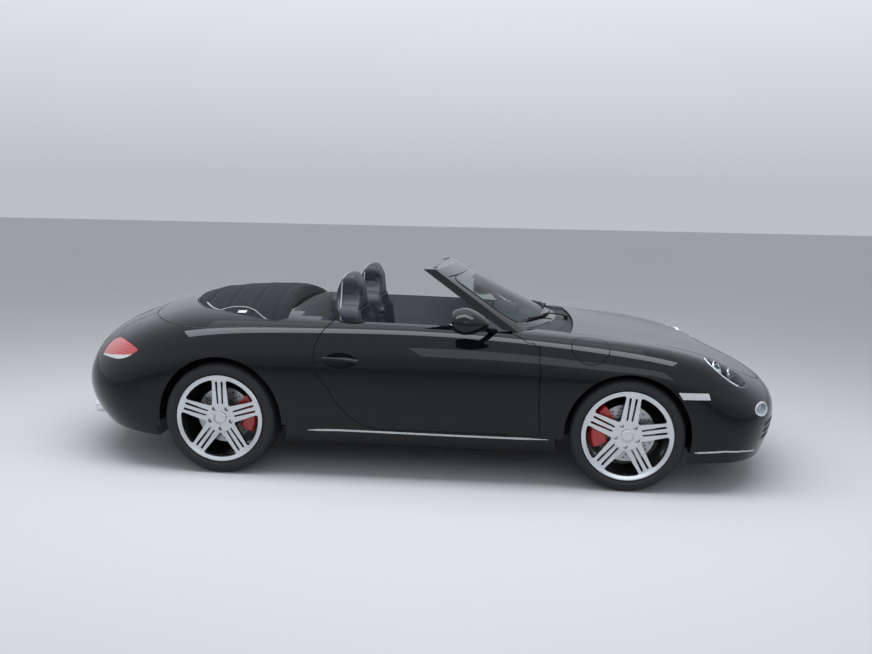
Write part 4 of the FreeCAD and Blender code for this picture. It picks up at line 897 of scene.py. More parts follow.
back_outline = [(0.205, 0.47), (0.208, 0.66), (0.208, 0.85), (0.195, 0.925), (0.145, 0.98), (0.114, 1.03),
                (0.109, 1.10), (0.09, 1.15), (0.05, 1.162)]
for side, seat_y in (("left", 0.370), ("right", -0.370)):
    node = f"seat_{side}"
    lap_front = Vector((front_axle - 1.5, 0, 0.402))
    lap_normal = Vector((-0.156, 0, 0.988))
    cushion = solid_copy(f"seat_cushion_{side}", node, ((0, 0, 0.302), (0, 0, -1)), (lap_front, lap_normal))
    evenly(cushion, 0.008, 12)

    def cushion_form(place, normal, seat_y=seat_y):
        off = abs(place.y - seat_y)
        dish = 0.012 if off < 0.12 else 0.012 * bump_at(off - 0.12, 0.04)
        bolster = bump_at(off - 0.175, 0.035) * 0.016 - dish
        return Vector((0, 0, bolster * max(0.0, normal.z))) - normal * 0.004

    reshape(cushion, cushion_form)
    swell(cushion, 0.008)

    def cushion_seams(place, normal, seat_y=seat_y):
        off = abs(place.y - seat_y)
        along = place.x - front_axle
        depth = bump_at(off - 0.128, 0.006) + bump_at(along + 1.225, 0.006) * (off < 0.13)
        depth += sum(bump_at(along - x, 0.009) * 0.6 for x in (-1.30, -1.375, -1.45)) * (off < 0.125)
        return normal * (-0.006 * min(1, depth)) * (normal.z > 0.2)

    reshape(cushion, cushion_seams)
    done(cushion, "body", leather, ("SUBSURF", {"levels": 1, "render_levels": 1}), angle=70)
    back = solid_copy(f"seat_back_{side}", node, (lap_front, -lap_normal))
    evenly(back, 0.008, 10)

    def back_form(place, normal, seat_y=seat_y):
        off = abs(place.y - seat_y)
        low = 1 - min(1, max(0, (place.z - 0.86) / 0.1))
        bolster = bump_at(off - 0.185, 0.04) * 0.045 - 0.010 * bump_at(off, 0.11)
        lumbar = 0.008 * bump_at(place.z - 0.56, 0.12) * bump_at(off, 0.1)
        rest = 0.006 * bump_at(place.z - 1.09, 0.05)
        forward = max(0.0, normal.x)
        upright = 0.045 * min(1, max(0, (place.z - 0.5) / 0.4))
        return Vector(((bolster * low + lumbar + rest) * forward + upright, 0, 0)) - normal * 0.004

    reshape(back, back_form)
    swell(back, 0.008)

    def back_seams(place, normal, seat_y=seat_y):
        off = abs(place.y - seat_y)
        side_seam = bump_at(off - 0.128, 0.006) * (place.z < 0.93)
        depth = side_seam + bump_at(place.z - 0.945, 0.006) * (off < 0.14)
        depth += sum(bump_at(place.z - z, 0.009) * 0.6 for z in (0.62, 0.70, 0.78, 0.86)) * (off < 0.125)
        return normal * (-0.006 * min(1, depth)) * (normal.x > 0.2)

    reshape(back, back_seams)
    done(back, "body", leather, ("SUBSURF", {"levels": 1, "render_levels": 1}), angle=70)
    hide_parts(node)
    back_tree = BVHTree.FromObject(back, bpy.context.evaluated_depsgraph_get())
    points = [(front_axle + seat_rear_x(z) + 0.004, seat_y + y + 0.01, z) for y, z in back_outline]
    points += [(x, 2 * seat_y - y, z) for x, y, z in points[::-1]]
    # The light grey bead along the back's rear edge is a painted reflection of the light on that edge.
    rail(f"seat_edge_painted_reflection_{side}", "body", piping_and_painted_reflection, [on_skin(back_tree, p, 0.002) for p in points],
         0.0042)
    shell = start("grid", f"seat_shell_{side}", x_subdivisions=16, y_subdivisions=28, size=1)
    bpy.ops.object.mode_set(mode="OBJECT")
    for vertex in shell.data.vertices:
        z = 0.66 + vertex.co.y * 0.42
        half = 0.178 if z < 0.8 else 0.178 - (z - 0.8) * 0.5
        y = seat_y + vertex.co.x * 2 * half
        vertex.co = on_skin(back_tree, (front_axle + seat_rear_x(z) - 0.02, y, z), 0.004)
    done(shell, "body", trim_black, ("SOLIDIFY", {"thickness": 0.004, "offset": 0}))
    seat_base = start("cube", f"seat_base_{side}", (front_axle - 1.38, seat_y, 0.283), (0.40, 0.36, 0.028),
                      size=1)
    pick_faces(seat_base, lambda middle, normal: abs(normal.z) > 0.9)
    bpy.ops.mesh.inset(thickness=0.03)
    bpy.ops.mesh.extrude_region_move(TRANSFORM_OT_translate={"value": (0, 0, 0.004)})
    done(seat_base, "body", black_steel, soft_edges)
    for off in (-0.16, 0.16):
        seat_rail = start("cube", f"seat_rail_{side}_{'outer' if off * seat_y > 0 else 'inner'}",
                          (front_axle - 1.39, seat_y + off, 0.257), (0.46, 0.035, 0.022), size=1)
        pick_faces(seat_rail, lambda middle, normal: normal.z > 0.9)
        bpy.ops.mesh.inset(thickness=0.006)
        bpy.ops.mesh.extrude_region_move(TRANSFORM_OT_translate={"value": (0, 0, -0.006)})
        done(seat_rail, "body", cast_metal, soft_edges)
    rail(f"seat_lever_{side}", "body", trim_black,
         [(front_axle - 1.30, seat_y + math.copysign(0.20, seat_y), 0.285),
          (front_axle - 1.24, seat_y + math.copysign(0.222, seat_y), 0.29),
          (front_axle - 1.16, seat_y + math.copysign(0.225, seat_y), 0.30)], 0.009)
    belt = start("cube", f"belt_buckle_{side}",
                 (front_axle - 1.52, seat_y - math.copysign(0.235, seat_y), 0.41),
                 (0.05, 0.02, 0.10), size=1)
    pick_faces(belt, lambda middle, normal: normal.z > 0.9)
    bpy.ops.mesh.inset(thickness=0.004)
    bpy.ops.mesh.extrude_region_move(TRANSFORM_OT_translate={"value": (0, 0, 0.006)})
    done(belt, "body", trim_black, soft_edges)

rear_leather = Finish("rear_seat_leather", (0.022, 0.027, 0.042), Roughness=0.5)
rear_leather.varies(Roughness=rear_leather.noise(30, 3) * 0.2 + 0.4,
                    Base_Color=rear_leather.blend(rear_leather.noise(12, 3), (0.018, 0.022, 0.036),
                                                  (0.028, 0.033, 0.052)))
rear_leather.relief(rear_leather.node("TexVoronoi", {"Vector": rear_leather.place(), "Scale": 420.0}),
                    0.0006, 0.5)
for side, sign in (("left", 1), ("right", -1)):
    for part, cuts in (("back", (((0, 0, 0.525), (0, 0, -1)),)), ("cushion", (((0, 0, 0.515), (0, 0, 1)),))):
        middle_cut = ((0, 0, 0), (0, -sign, 0))
        pad = solid_copy(f"rear_{part}_{side}", "rear_seats", middle_cut, *cuts)
        evenly(pad, 0.009, 14)

        def bench_form(place, normal, sign=sign):
            across = (place.y * sign - 0.27) / 0.21
            dish = -0.012 * (1 - min(1, across * across))
            return (Vector((1, 0, 0.4)) * dish) * (normal.x + normal.z > 0.4) - normal * 0.003

        reshape(pad, bench_form)
        swell(pad, 0.010)
        done(pad, "body", rear_leather, ("SUBSURF", {"levels": 1, "render_levels": 1}), angle=70)
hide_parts("rear_seats")

# The cabin's hard trim: a soft dashboard with a hooded group of five round dials, air vents, a centre stack
# of plain switches, the console with gear lever and handbrake, pedals, and leather door trims with pulls.
grained = Finish("grained_trim", (0.016, 0.018, 0.023), Roughness=0.62)
grained.varies(Roughness=grained.noise(60, 3) * 0.15 + 0.52,
               Base_Color=grained.blend(grained.noise(14, 3), (0.013, 0.015, 0.020), (0.020, 0.022, 0.028)))
grained.relief(grained.node("TexVoronoi", {"Vector": grained.place(), "Scale": 500.0}), 0.0006, 0.5)
cover(grained, "dashboard")
wheel_leather = Finish("wheel_leather", (0.012, 0.0125, 0.014), Roughness=0.42)
wheel_leather.varies(Roughness=wheel_leather.noise(80, 3) * 0.2 + 0.32)
wheel_leather.relief(wheel_leather.node("TexVoronoi", {"Vector": wheel_leather.place(), "Scale": 600.0}),
                     0.0005, 0.5)
cover(wheel_leather, "steering_wheel")
hood_y = 0.37
hood = start("cube", "dial_hood", (front_axle - 0.725, hood_y, 0.884), (0.15, 0.38, 0.075), size=1)
bpy.ops.mesh.select_all(action="SELECT")
bpy.ops.mesh.subdivide(number_cuts=7, smoothness=0)
bpy.ops.object.mode_set(mode="OBJECT")


def hood_form(place, normal):
    across = (place.y - hood_y) / 0.19
    drop = 0.055 * across ** 4 + 0.012 * across ** 2
    front = max(0.0, (place.x - (front_axle - 0.725)) / 0.075)
    return Vector((0, 0, (-drop if place.z > 0.884 else -0.02) - 0.02 * front * (place.z > 0.884)))


reshape(hood, hood_form)
pick_faces(hood, lambda middle, normal: normal.x < -0.8 and abs(middle.y - hood_y) < 0.165)
bpy.ops.mesh.inset(thickness=0.008)
bpy.ops.mesh.extrude_region_move(TRANSFORM_OT_translate={"value": (0.035, 0, 0)})
done(hood, "body", grained, ("BEVEL", {"width": 0.006, "segments": 3, "limit_method": "ANGLE"}), angle=50)
rim_silver = Finish("dial_ring", (0.45, 0.45, 0.46), Roughness=0.25, Metallic=1.0)
rim_silver.varies(Roughness=rim_silver.noise(200, 2) * 0.1 + 0.2)
dial_facing = Vector((-1, 0, 0.12)).normalized()
for number, (off, radius) in enumerate(((-0.132, 0.020), (-0.076, 0.028), (0.0, 0.036), (0.076, 0.028),
                                         (0.132, 0.020))):
    place = Vector((front_axle - 0.775, hood_y + off, 0.882 - 0.006 * (number in (0, 4))))
    face = Finish(f"dial_face_{number}", (0.01, 0.01, 0.011), Roughness=0.4)
    up = face.axis("Z", (0, 0, -place.z))
    across = face.axis("Y", (0, -place.y, 0))
    reach = face.maths("SQRT", up * up + across * across)
    ticks = (face.maths("ARCTAN2", across, up)).wave(2 * math.pi / 40).over(0.6, 0.9)
    band = reach.over(radius * 0.74, radius * 0.76) * (1 - reach.over(radius * 0.9, radius * 0.92))
    face.varies(Base_Color=face.blend(ticks * band, (0.010, 0.010, 0.011), (0.75, 0.75, 0.74)),
                Roughness=face.noise(90, 2) * 0.1 + 0.35)
    round_part(f"dial_{number}", "body", face, [(radius * 0.96, 0.0), (radius * 0.5, 0.0005), (0.0, 0.0008)],
               place, dial_facing)
    round_part(f"dial_ring_{number}", "body", rim_silver,
               [(radius * 0.93, -0.002), (radius * 0.95, 0.004), (radius, 0.005), (radius * 1.02, 0.0),
                (radius * 1.0, -0.004), (radius * 0.93, -0.002)], place, dial_facing)
    needle_foot = place + dial_facing * 0.003
    rail(f"dial_needle_{number}", "body", caliper_red,
         [needle_foot, needle_foot + Vector((0, -0.35 * radius, 0.35 * radius)),
          needle_foot + Vector((0, -0.55 * radius, 0.5 * radius))], 0.0008)
    round_part(f"dial_cap_{number}", "body", trim_black,
               [(0.006, 0.001), (0.006, 0.005), (0.003, 0.0065), (0.0, 0.0065)], place, dial_facing)

stack = start("cube", "centre_stack", (front_axle - 0.835, 0, 0.69), (0.10, 0.21, 0.20), size=1)
pick_faces(stack, lambda middle, normal: normal.x < -0.9)
bpy.ops.mesh.inset(thickness=0.01)
bpy.ops.mesh.extrude_region_move(TRANSFORM_OT_translate={"value": (0.006, 0, 0)})
done(stack, "body", grained, ("BEVEL", {"width": 0.008, "segments": 3, "limit_method": "ANGLE"}))
switch_black = Finish("switch_black", (0.012, 0.012, 0.013), Roughness=0.35)
switch_black.varies(Roughness=switch_black.noise(200, 2) * 0.15 + 0.3)
for row in range(4):
    for column in range(5):
        if row == 1 and column in (1, 2, 3):
            continue
        key = start("cube", f"stack_switch_{row}_{column}",
                    (front_axle - 0.882, -0.072 + 0.036 * column, 0.75 - 0.038 * row), (0.008, 0.030, 0.026),
                    size=1)
        pick_faces(key, lambda middle, normal: normal.x < -0.9)
        bpy.ops.mesh.inset(thickness=0.003)
        bpy.ops.mesh.extrude_region_move(TRANSFORM_OT_translate={"value": (-0.002, 0, 0)})
        done(key, "body", switch_black, ("BEVEL", {"width": 0.001, "segments": 2, "limit_method": "ANGLE"}))
display = start("cube", "stack_display", (front_axle - 0.881, 0, 0.712), (0.006, 0.10, 0.028), size=1)
pick_faces(display, lambda middle, normal: normal.x < -0.9)
bpy.ops.mesh.inset(thickness=0.003)
bpy.ops.mesh.extrude_region_move(TRANSFORM_OT_translate={"value": (0.002, 0, 0)})
done(display, "body", switch_black, soft_edges)

for number, vent_y in enumerate((0.545, 0.06, -0.06, -0.545)):
    vent = start("cube", f"air_vent_{number}", (front_axle - 0.846, vent_y, 0.806), (0.022, 0.085, 0.044),
                 size=1)
    pick_faces(vent, lambda middle, normal: normal.x < -0.9)
    bpy.ops.mesh.inset(thickness=0.005)
    bpy.ops.mesh.extrude_region_move(TRANSFORM_OT_translate={"value": (0.014, 0, 0)})
    done(vent, "body", trim_black, soft_edges)
    for bar in range(4):
        blade = start("cube", f"air_vent_{number}_blade_{bar}",
                      (front_axle - 0.852, vent_y, 0.7925 + 0.009 * bar), (0.010, 0.074, 0.0022), size=1)
        pick_faces(blade, lambda middle, normal: normal.x < -0.9)
        bpy.ops.transform.translate(value=(0, 0, -0.002))
        done(blade, "body", switch_black,
             ("BEVEL", {"width": 0.0006, "segments": 1, "limit_method": "ANGLE"}))
glovebox = start("cube", "glovebox_lid", (front_axle - 0.832, -0.36, 0.715), (0.012, 0.36, 0.105), size=1)
pick_faces(glovebox, lambda middle, normal: normal.x < -0.9)
bpy.ops.mesh.inset(thickness=0.02)
bpy.ops.mesh.extrude_region_move(TRANSFORM_OT_translate={"value": (-0.004, 0, 0)})
done(glovebox, "body", grained, ("BEVEL", {"width": 0.004, "segments": 3, "limit_method": "ANGLE"}))
for side, sign in (("wiper", -1), ("signal", 1)):
    rail(f"{side}_stalk", "body", trim_black,
         [(front_axle - 0.83, hood_y + sign * 0.03, 0.735), (front_axle - 0.86, hood_y + sign * 0.09, 0.745),
          (front_axle - 0.875, hood_y + sign * 0.15, 0.755)], 0.008)
round_part("steering_hub_cap", "steering_wheel", wheel_leather,
           [(0.058, -0.012), (0.058, 0.004), (0.045, 0.014), (0.02, 0.018), (0.0, 0.019)],
           (front_axle - 0.925, 0.370, 0.742), Vector((-0.9, 0, 0.40)))

# Console pieces: the lever stands in a stitched leather boot, and the handbrake beside it.
boot = round_part("gear_boot", "body", leather,
                  [(0.060, 0.0), (0.052, 0.010), (0.050, 0.020), (0.040, 0.030), (0.036, 0.042),
                   (0.026, 0.052),
                   (0.020, 0.066), (0.013, 0.080), (0.012, 0.084)], (front_axle - 0.985, 0, 0.545),
                   (-0.25, 0, 1), 36, 60)
rail("gear_lever", "body", chrome, [(front_axle - 1.0, 0, 0.60), (front_axle - 1.012, 0, 0.65),
                                    (front_axle - 1.02, 0, 0.68)], 0.007)
round_part("gear_knob", "body", wheel_leather,
           [(0.0, -0.004), (0.012, 0.0), (0.020, 0.014), (0.026, 0.034), (0.024, 0.048), (0.014, 0.056),
            (0.0, 0.058)],
           (front_axle - 1.017, 0, 0.665), (-0.2, 0, 1), 32, 60)
rail("handbrake", "body", wheel_leather,
     [(front_axle - 1.16, 0.055, 0.478), (front_axle - 1.24, 0.055, 0.505),
      (front_axle - 1.38, 0.055, 0.545), (front_axle - 1.42, 0.055, 0.552)], 0.013)
armrest = start("cube", "console_lid", (front_axle - 1.59, 0, 0.494), (0.21, 0.165, 0.03), size=1)
bpy.ops.mesh.select_all(action="SELECT")
bpy.ops.mesh.subdivide(number_cuts=6)
bpy.ops.object.mode_set(mode="OBJECT")
reshape(armrest, lambda place, normal: Vector((0, 0, 0.010 * max(0, 1 - (place.y / 0.0825) ** 2)
                                               * max(0, 1 - ((place.x - front_axle + 1.59) / 0.105) ** 2)
                                               * (place.z > 0.5))))
done(armrest, "body", leather, ("BEVEL", {"width": 0.008, "segments": 3, "limit_method": "ANGLE"}), angle=60)
for name, pedal_y, size in (("clutch", 0.50, 0.055), ("brake", 0.40, 0.06), ("throttle", 0.30, 0.045)):
    tall = 0.10 if name == "throttle" else 0.06
    pedal = start("cube", f"{name}_pedal", (front_axle - 0.615, pedal_y, 0.36), (0.012, size, tall), size=1)
    pick_faces(pedal, lambda middle, normal: normal.x < -0.9)
    bpy.ops.mesh.subdivide(number_cuts=5)
    bpy.ops.mesh.inset(thickness=0.0025, use_individual=True)
    bpy.ops.mesh.extrude_region_move(TRANSFORM_OT_translate={"value": (-0.003, 0, 0)})
    done(pedal, "body", rubber)
    rail(f"{name}_pedal_arm", "body", black_steel,
         [(front_axle - 0.61, pedal_y, 0.37), (front_axle - 0.59, pedal_y, 0.45),
          (front_axle - 0.60, pedal_y, 0.60)], 0.007)


def door_face(sign):
    def face(middle, normal):
        if on_outside(middle):
            return "paint"
        inward = normal.y * sign < -0.35 or (normal.z > 0.5 and middle.y * sign < 0.80)
        return "trim" if inward and middle.z > 0.33 and -1.72 < middle.x - front_axle < -0.62 else "edge"
    return face


for side, sign in (("left", 1), ("right", -1)):
    body = f"door_{side}"
    choose(body, {"paint": black_paint, "edge": inner_metal, "trim": grained}, door_face(sign))
    low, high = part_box(body)
    inner_y = low[1] if sign > 0 else -high[1]
    rest = start("cube", f"door_armrest_{side}", (front_axle - 1.28, sign * (inner_y - 0.018), 0.60),
                 (0.46, 0.05, 0.05), size=1)
    bpy.ops.mesh.select_all(action="SELECT")
    bpy.ops.mesh.subdivide(number_cuts=8)
    bpy.ops.object.mode_set(mode="OBJECT")

    def rest_form(place, normal, sign=sign, inner_y=inner_y):
        along = (place.x - front_axle + 1.28) / 0.23
        out = 0.016 * max(0.0, 1 - along * along)
        return Vector((0, -sign * out * (place.y * sign < inner_y - 0.018), 0.03 * along * along * along))

    reshape(rest, rest_form)
    done(rest, body, leather, ("BEVEL", {"width": 0.009, "segments": 3, "limit_method": "ANGLE"}), angle=60)
    rail(f"door_pull_{side}", body, rim_silver,
         [(front_axle - 1.02, sign * (inner_y + 0.004), 0.665),
          (front_axle - 1.05, sign * (inner_y - 0.028), 0.672),
          (front_axle - 1.12, sign * (inner_y - 0.028), 0.685),
          (front_axle - 1.15, sign * (inner_y + 0.004), 0.69)], 0.007)
    speaker = Finish(f"speaker_cloth_{side}", (0.010, 0.010, 0.011), Roughness=0.8)
    dots = speaker.axis("X").wave(0.005) * speaker.axis("Z").wave(0.005)
    speaker.varies(Base_Color=speaker.blend(dots * 0.5 + 0.5, (0.003, 0.003, 0.003), (0.022, 0.022, 0.024)))
    speaker.relief(dots, 0.001, 0.6)
    round_part(f"door_speaker_{side}", body, speaker,
               [(0.082, -0.004), (0.082, 0.004), (0.077, 0.008), (0.070, 0.006), (0.03, 0.009),
                (0.0, 0.010)],
               (front_axle - 0.86, sign * (inner_y + 0.003), 0.44), (0, -sign, 0))
    pocket = start("cube", f"door_pocket_{side}", (front_axle - 1.28, sign * (inner_y - 0.012), 0.40),
                   (0.52, 0.03, 0.13), size=1)
    pick_faces(pocket, lambda middle, normal: normal.z > 0.9)
    bpy.ops.mesh.inset(thickness=0.005)
    bpy.ops.mesh.extrude_region_move(TRANSFORM_OT_translate={"value": (0, 0, -0.09)})
    done(pocket, body, grained, ("BEVEL", {"width": 0.004, "segments": 2, "limit_method": "ANGLE"}))

# Outside trim: rounded mirrors on the doors, a bright sill strip, a silver strip on the front lip that is a
# painted highlight of the lip's edge, exhaust tips, and on the header a grey sheet that is a painted reflection
# of the light above, with the catches for the top. A rear-view mirror hangs from the header.
mirror_glass = Finish("mirror_glass", (0.72, 0.74, 0.76), Roughness=0.02, Metallic=1.0)
mirror_glass.varies(Roughness=mirror_glass.noise(30, 2) * 0.02 + 0.01)
for side, sign in (("left", 1), ("right", -1)):
    middle = Vector((front_axle - 0.915, sign * 0.966, 0.964))
    housing = start("uv_sphere", f"mirror_housing_{side}", (0, 0, 0), segments=64, ring_count=40, radius=1)
    bpy.ops.object.mode_set(mode="OBJECT")

    def teardrop(place, normal, sign=sign, middle=middle):
        """A blunt rounded shell, fuller towards the car's outside and flat behind."""
        outer = place.y * sign
        long = 0.128 if place.x > 0 else 0.098
        narrow = 1 - 0.38 * max(0.0, place.x) ** 1.5
        y = sign * outer * (0.122 if outer > 0 else 0.118) * narrow
        z = place.z * 0.074 * narrow
        return middle + Vector((max(place.x * long, -0.070), y, z - 0.012 * max(0.0, place.x))) - place

    reshape(housing, teardrop)
    pick_faces(housing, lambda middle, normal: normal.x < -0.9)
    bpy.ops.mesh.inset(thickness=0.007)
    bpy.ops.mesh.extrude_region_move(TRANSFORM_OT_translate={"value": (0.004, 0, 0)})
    done(housing, f"door_{side}", black_paint, angle=50)
    housing.data.materials.append(mirror_glass.material)
    back_x = middle.x - 0.070
    for face in housing.data.polygons:
        if face.normal.x < -0.95 and face.center.x > back_x + 0.003:
            face.material_index = 1
    rail(f"mirror_arm_{side}", f"door_{side}", black_paint,
         [(front_axle - 0.765, sign * 0.735, 0.875), (front_axle - 0.79, sign * 0.78, 0.893),
          (front_axle - 0.825, sign * 0.84, 0.915), (front_axle - 0.85, sign * 0.90, 0.940)], 0.021)
    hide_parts(f"mirror_{side}")
for side, sign in (("left", 1), ("right", -1)):
    round_part(f"exhaust_tip_{side}", "body", chrome,
                                   [(0.030, 0.30), (0.036, 0.22), (0.044, 0.16), (0.046, 0.03),
                                    (0.046, 0.004),
                                    (0.044, 0.0), (0.041, 0.004), (0.041, 0.10), (0.0, 0.10)],
                                   (front_axle - 3.285, sign * 0.5, 0.283), (1, 0, 0))
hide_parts("exhaust")
# The silver finish: the sill strips, and along the front lip a painted highlight of the black lip's edge.
silver_and_painted_highlight = Finish("silver_strip_and_painted_highlight", (0.55, 0.56, 0.57), Roughness=0.25, Metallic=1.0)
silver_and_painted_highlight.varies(Roughness=silver_and_painted_highlight.noise(90, 3) * 0.15 + 0.2,
              Base_Color=silver_and_painted_highlight.blend(silver_and_painted_highlight.noise(20, 2), (0.50, 0.51, 0.52), (0.60, 0.61, 0.62)))


def strip(name, body, finish, points, width, thickness):
    """A flat strip that lies on the body form along a few points."""
    piece = start("grid", name, x_subdivisions=72, y_subdivisions=4, size=1)
    bpy.ops.object.mode_set(mode="OBJECT")
    path = np.array(points)
    share = np.linspace(0, 1, len(path))
    for vertex in piece.data.vertices:
        along = vertex.co.x + 0.5
        x, y, z = (float(np.interp(along, share, path[:, k])) for k in range(3))
        taper = min(1.0, along * 14, (1 - along) * 14) * 0.7 + 0.3
        vertex.co = on_skin(form_tree, (x, y, z + vertex.co.y * width * taper), 0.0008)
    bpy.ops.object.mode_set(mode="EDIT")
    bpy.ops.mesh.select_all(action="SELECT")
    bpy.ops.mesh.normals_make_consistent(inside=False)
    bpy.ops.object.mode_set(mode="OBJECT")
    return done(piece, body, finish, ("SOLIDIFY", {"thickness": thickness, "offset": 0}),
                ("BEVEL", {"width": thickness * 0.3, "segments": 2, "limit_method": "ANGLE"}))


for side, sign in (("left", 1), ("right", -1)):
    sill = [(-1.83, 0.866, 0.279), (-1.654, 0.872, 0.284), (-1.40, 0.872, 0.282), (-1.10, 0.866, 0.280),
            (-0.80, 0.862, 0.278), (-0.44, 0.857, 0.276)]
    strip(f"sill_strip_{side}", "body", silver_and_painted_highlight, [(front_axle + x, sign * y, z) for x, y, z in sill], 0.014,
          0.003)
    # The strip along the front lip stands for the highlight on the black lip's edge: a painted highlight.
    lip = [(0.37, 0.855, 0.247), (0.46, 0.845, 0.252), (0.545, 0.828, 0.257), (0.65, 0.765, 0.25),
           (0.74, 0.678, 0.232)]
    strip(f"front_lip_painted_highlight_{side}", "body", silver_and_painted_highlight, [(front_axle + x, sign * y, z) for x, y, z in lip],
          0.010, 0.003)

# The grey sheet on top of the header is a painted reflection of the light above on the header's black paint.
painted_reflection_grey = Finish("header_painted_reflection", (0.08, 0.083, 0.09), Roughness=0.6)
painted_reflection_grey.varies(Roughness=painted_reflection_grey.noise(120, 3) * 0.2 + 0.5,
                   Base_Color=painted_reflection_grey.blend(painted_reflection_grey.noise(30, 2), (0.065, 0.068, 0.075),
                                                (0.095, 0.098, 0.106)))
frame_tree = BVHTree.FromObject(nodes["windscreen_frame"], bpy.context.evaluated_depsgraph_get())
flap = start("grid", "header_painted_reflection", x_subdivisions=48, y_subdivisions=6, size=1)
bpy.ops.object.mode_set(mode="OBJECT")
for vertex in flap.data.vertices:
    y = vertex.co.x * 0.90
    x = front_axle - 1.175 + vertex.co.y * 0.045 + 0.03 * (y / 0.5) ** 2
    vertex.co = on_skin(frame_tree, (x, y, 1.215 - 0.015 * (y / 0.45) ** 2), 0.0015)
done(flap, "body", painted_reflection_grey, ("SOLIDIFY", {"thickness": 0.003, "offset": 0}))
for side, sign in (("left", 1), ("right", -1)):
    catch = start("cube", f"header_catch_{side}", (front_axle - 1.14, sign * 0.36, 1.166),
                  (0.045, 0.04, 0.014), size=1)
    pick_faces(catch, lambda middle, normal: normal.x < -0.9)
    bpy.ops.mesh.inset(thickness=0.004)
    bpy.ops.mesh.extrude_region_move(TRANSFORM_OT_translate={"value": (-0.008, 0, 0)})
    done(catch, "body", black_steel, soft_edges)
rear_view = start("uv_sphere", "rear_view_mirror", (front_axle - 1.08, 0, 1.105), (0.022, 0.125, 0.034),
                  segments=40, ring_count=20, radius=1)
bpy.ops.mesh.select_all(action="DESELECT")
bpy.ops.object.mode_set(mode="OBJECT")
reshape(rear_view, lambda place, normal: Vector((max(0.0, (front_axle - 1.088) - place.x), 0, 0)))
done(rear_view, "body", trim_black, angle=30)
glass_face = start("circle", "rear_view_glass", (front_axle - 1.0885, 0, 1.105), (0.027, 0.115, 1),
                   vertices=48, radius=1, fill_type="NGON", turn=(0, math.radians(-90), 0))
bpy.ops.mesh.select_all(action="SELECT")
bpy.ops.mesh.inset(thickness=0.002)
done(glass_face, "body", mirror_glass, ("SOLIDIFY", {"thickness": 0.001, "offset": 0}))
rail("rear_view_stem", "body", trim_black, [(front_axle - 1.07, 0, 1.12), (front_axle - 1.06, 0, 1.145),
                                            (front_axle - 1.05, 0, 1.165)], 0.009)

# Under the lids: the engine with its fan, air box and intake hoses, and the filler cap behind the fuel flap.
# The engine is a plain cast block, and what lies on top of it is black plastic, steel and rubber.
cover(cast_metal, "engine_block")
engine_x, engine_top = (sum(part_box("engine_block")[k][0] for k in (0, 1)) / 2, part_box("engine_block")[1][2])
round_part("engine_fan", "body", black_steel,
           [(0.13, 0.0), (0.13, 0.03), (0.122, 0.034), (0.115, 0.012), (0.05, 0.010), (0.045, 0.035),
            (0.02, 0.045), (0.0, 0.046)], (engine_x - 0.03, 0.06, engine_top), (0, 0, 1))
air_box = start("cube", "engine_air_box", (engine_x + 0.02, -0.2, engine_top + 0.035), (0.26, 0.2, 0.07),
                size=1)
pick_faces(air_box, lambda middle, normal: normal.z > 0.9)
bpy.ops.mesh.subdivide(number_cuts=6)
bpy.ops.mesh.inset(thickness=0.004, use_individual=True)
bpy.ops.mesh.extrude_region_move(TRANSFORM_OT_translate={"value": (0, 0, 0.004)})
done(air_box, "body", trim_black)
for number, y in enumerate((-0.09, 0.24)):
    rail(f"engine_intake_hose_{number}", "body", rubber,
         [(engine_x - 0.12, y, engine_top - 0.01), (engine_x - 0.08, y, engine_top + 0.05),
          (engine_x + 0.03, y, engine_top + 0.06), (engine_x + 0.11, y, engine_top - 0.01)], 0.022)
flap_low, flap_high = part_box("fuel_flap")
round_part("filler_cap", "body", trim_black,
           [(0.036, -0.01), (0.036, 0.004), (0.030, 0.012), (0.010, 0.013), (0.009, 0.018), (0.0, 0.018)],
           ((flap_low[0] + flap_high[0]) / 2, -0.765, 0.775), (0, -0.75, 0.66))

# Closing panels, painted like the rest: the flange that carries the door's edge up to the wing, and the
# corners of the rear deck beside the engine lid. They follow the body form, a shade under the panels, and so
# do the headlamps' bright edges and the bars of the door handles.
panel_step, level_within, off_form = 0.0025, 0.005, 0.002
panel_trees = {name: BVHTree.FromObject(nodes[name], bpy.context.evaluated_depsgraph_get())
               for name in PANELS + ["body_tub", "front_chassis"]}


def flush_panel(place, along):
    """The panel that lies level with the form under a place, seen along a direction, or None."""
    form_hit = form_tree.ray_cast(place, along)
    found = []
    for name, tree in panel_trees.items():
        hit = tree.ray_cast(place, along)
        if hit[0] is not None:
            found.append((hit[3], name))
    if form_hit[0] is None or not found:
        return None
    depth, name = min(found)
    return name if depth - form_hit[3] < level_within else None


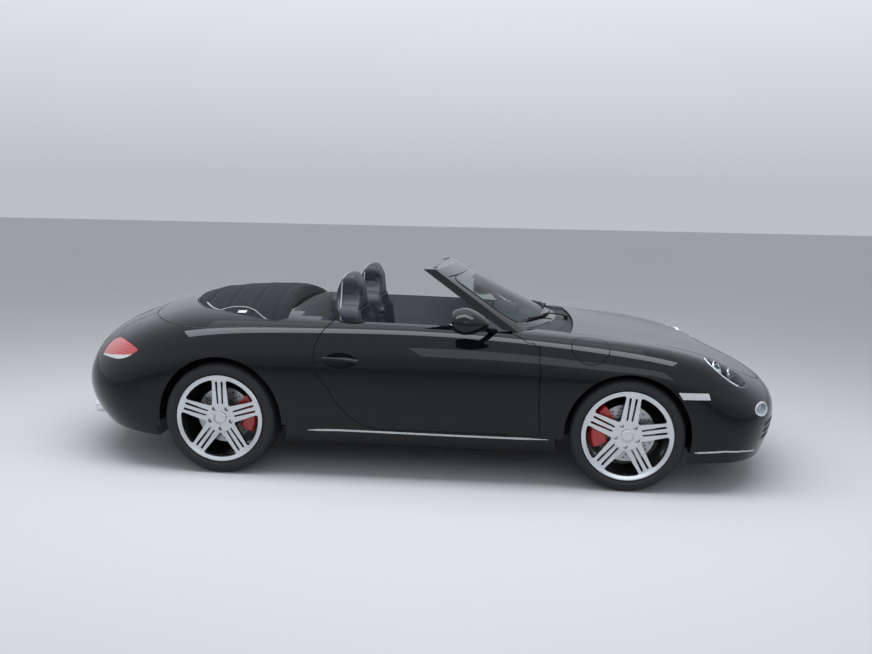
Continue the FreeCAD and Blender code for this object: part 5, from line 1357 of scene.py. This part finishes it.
def closing_panel(name, body, middle, size, along, own, gap):
    """Fills the open places of a patch of the form, and keeps a gap to every panel that isn't its own."""
    piece = start("grid", name, x_subdivisions=round(size[0] / panel_step),
                  y_subdivisions=round(size[1] / panel_step), size=1)
    bpy.ops.object.mode_set(mode="OBJECT")
    along = Vector(along)
    second = Vector((0, 0, 1)) if abs(along.y) > 0.5 else Vector((0, 1, 0))
    for vertex in piece.data.vertices:
        seen_from = Vector(middle) + Vector((vertex.co.x * size[0], 0, 0)) + second * vertex.co.y * size[1]
        hit, normal, *_ = form_tree.ray_cast(seen_from, along)
        vertex.co = hit - normal * 0.0008 if hit else seen_from + along

    def open_place(place, normal):
        if form_tree.find_nearest(place)[3] > off_form:
            return False
        for off in (0.0, gap, -gap):
            for direction in (Vector((1, 0, 0)), second):
                panel = flush_panel(place - along + direction * off, along)
                if panel is not None and (off == 0.0 or panel not in own):
                    return False
        return True

    pick_faces(piece, lambda place, normal: not open_place(place, normal))
    bpy.ops.mesh.delete(type="FACE")
    bpy.ops.mesh.select_all(action="SELECT")
    bpy.ops.mesh.normals_make_consistent(inside=False)
    bpy.ops.object.mode_set(mode="OBJECT")
    if piece.data.polygons and sum(face.normal.dot(along) for face in piece.data.polygons) > 0:
        piece.data.flip_normals()
    return done(piece, body, black_paint, ("SOLIDIFY", {"thickness": 0.0015, "offset": -1}))


for side, sign in (("left", 1), ("right", -1)):
    closing_panel(f"door_flange_{side}", f"door_{side}", (front_axle - 0.57, sign * 2.0, 0.585),
                  (0.18, 0.59), (0, -sign, 0), (f"door_{side}",), 0.004)
    closing_panel(f"deck_corner_{side}", "body", (front_axle - 3.04, sign * 0.51, 2.0), (0.42, 0.24),
                  (0, 0, -1), ("rear_bumper", "body_tub"), 0.004)
    ring = [(0.434, 0.648, 0.746), (0.456, 0.740, 0.708), (0.535, 0.754, 0.648), (0.610, 0.730, 0.609)]
    rail(f"headlamp_edge_{side}", "body", chrome,
         [on_skin(form_tree, (front_axle + x, sign * y, z), 0.001) for x, y, z in ring], 0.005)
    handle = [(-1.735, 0.876, 0.707), (-1.70, 0.880, 0.709), (-1.632, 0.882, 0.706), (-1.565, 0.880, 0.700),
              (-1.53, 0.876, 0.696)]
    rail(f"door_handle_bar_{side}", f"door_{side}", black_paint,
         [on_skin(form_tree, (front_axle + x, sign * y, z), 0.004) for x, y, z in handle], 0.011)
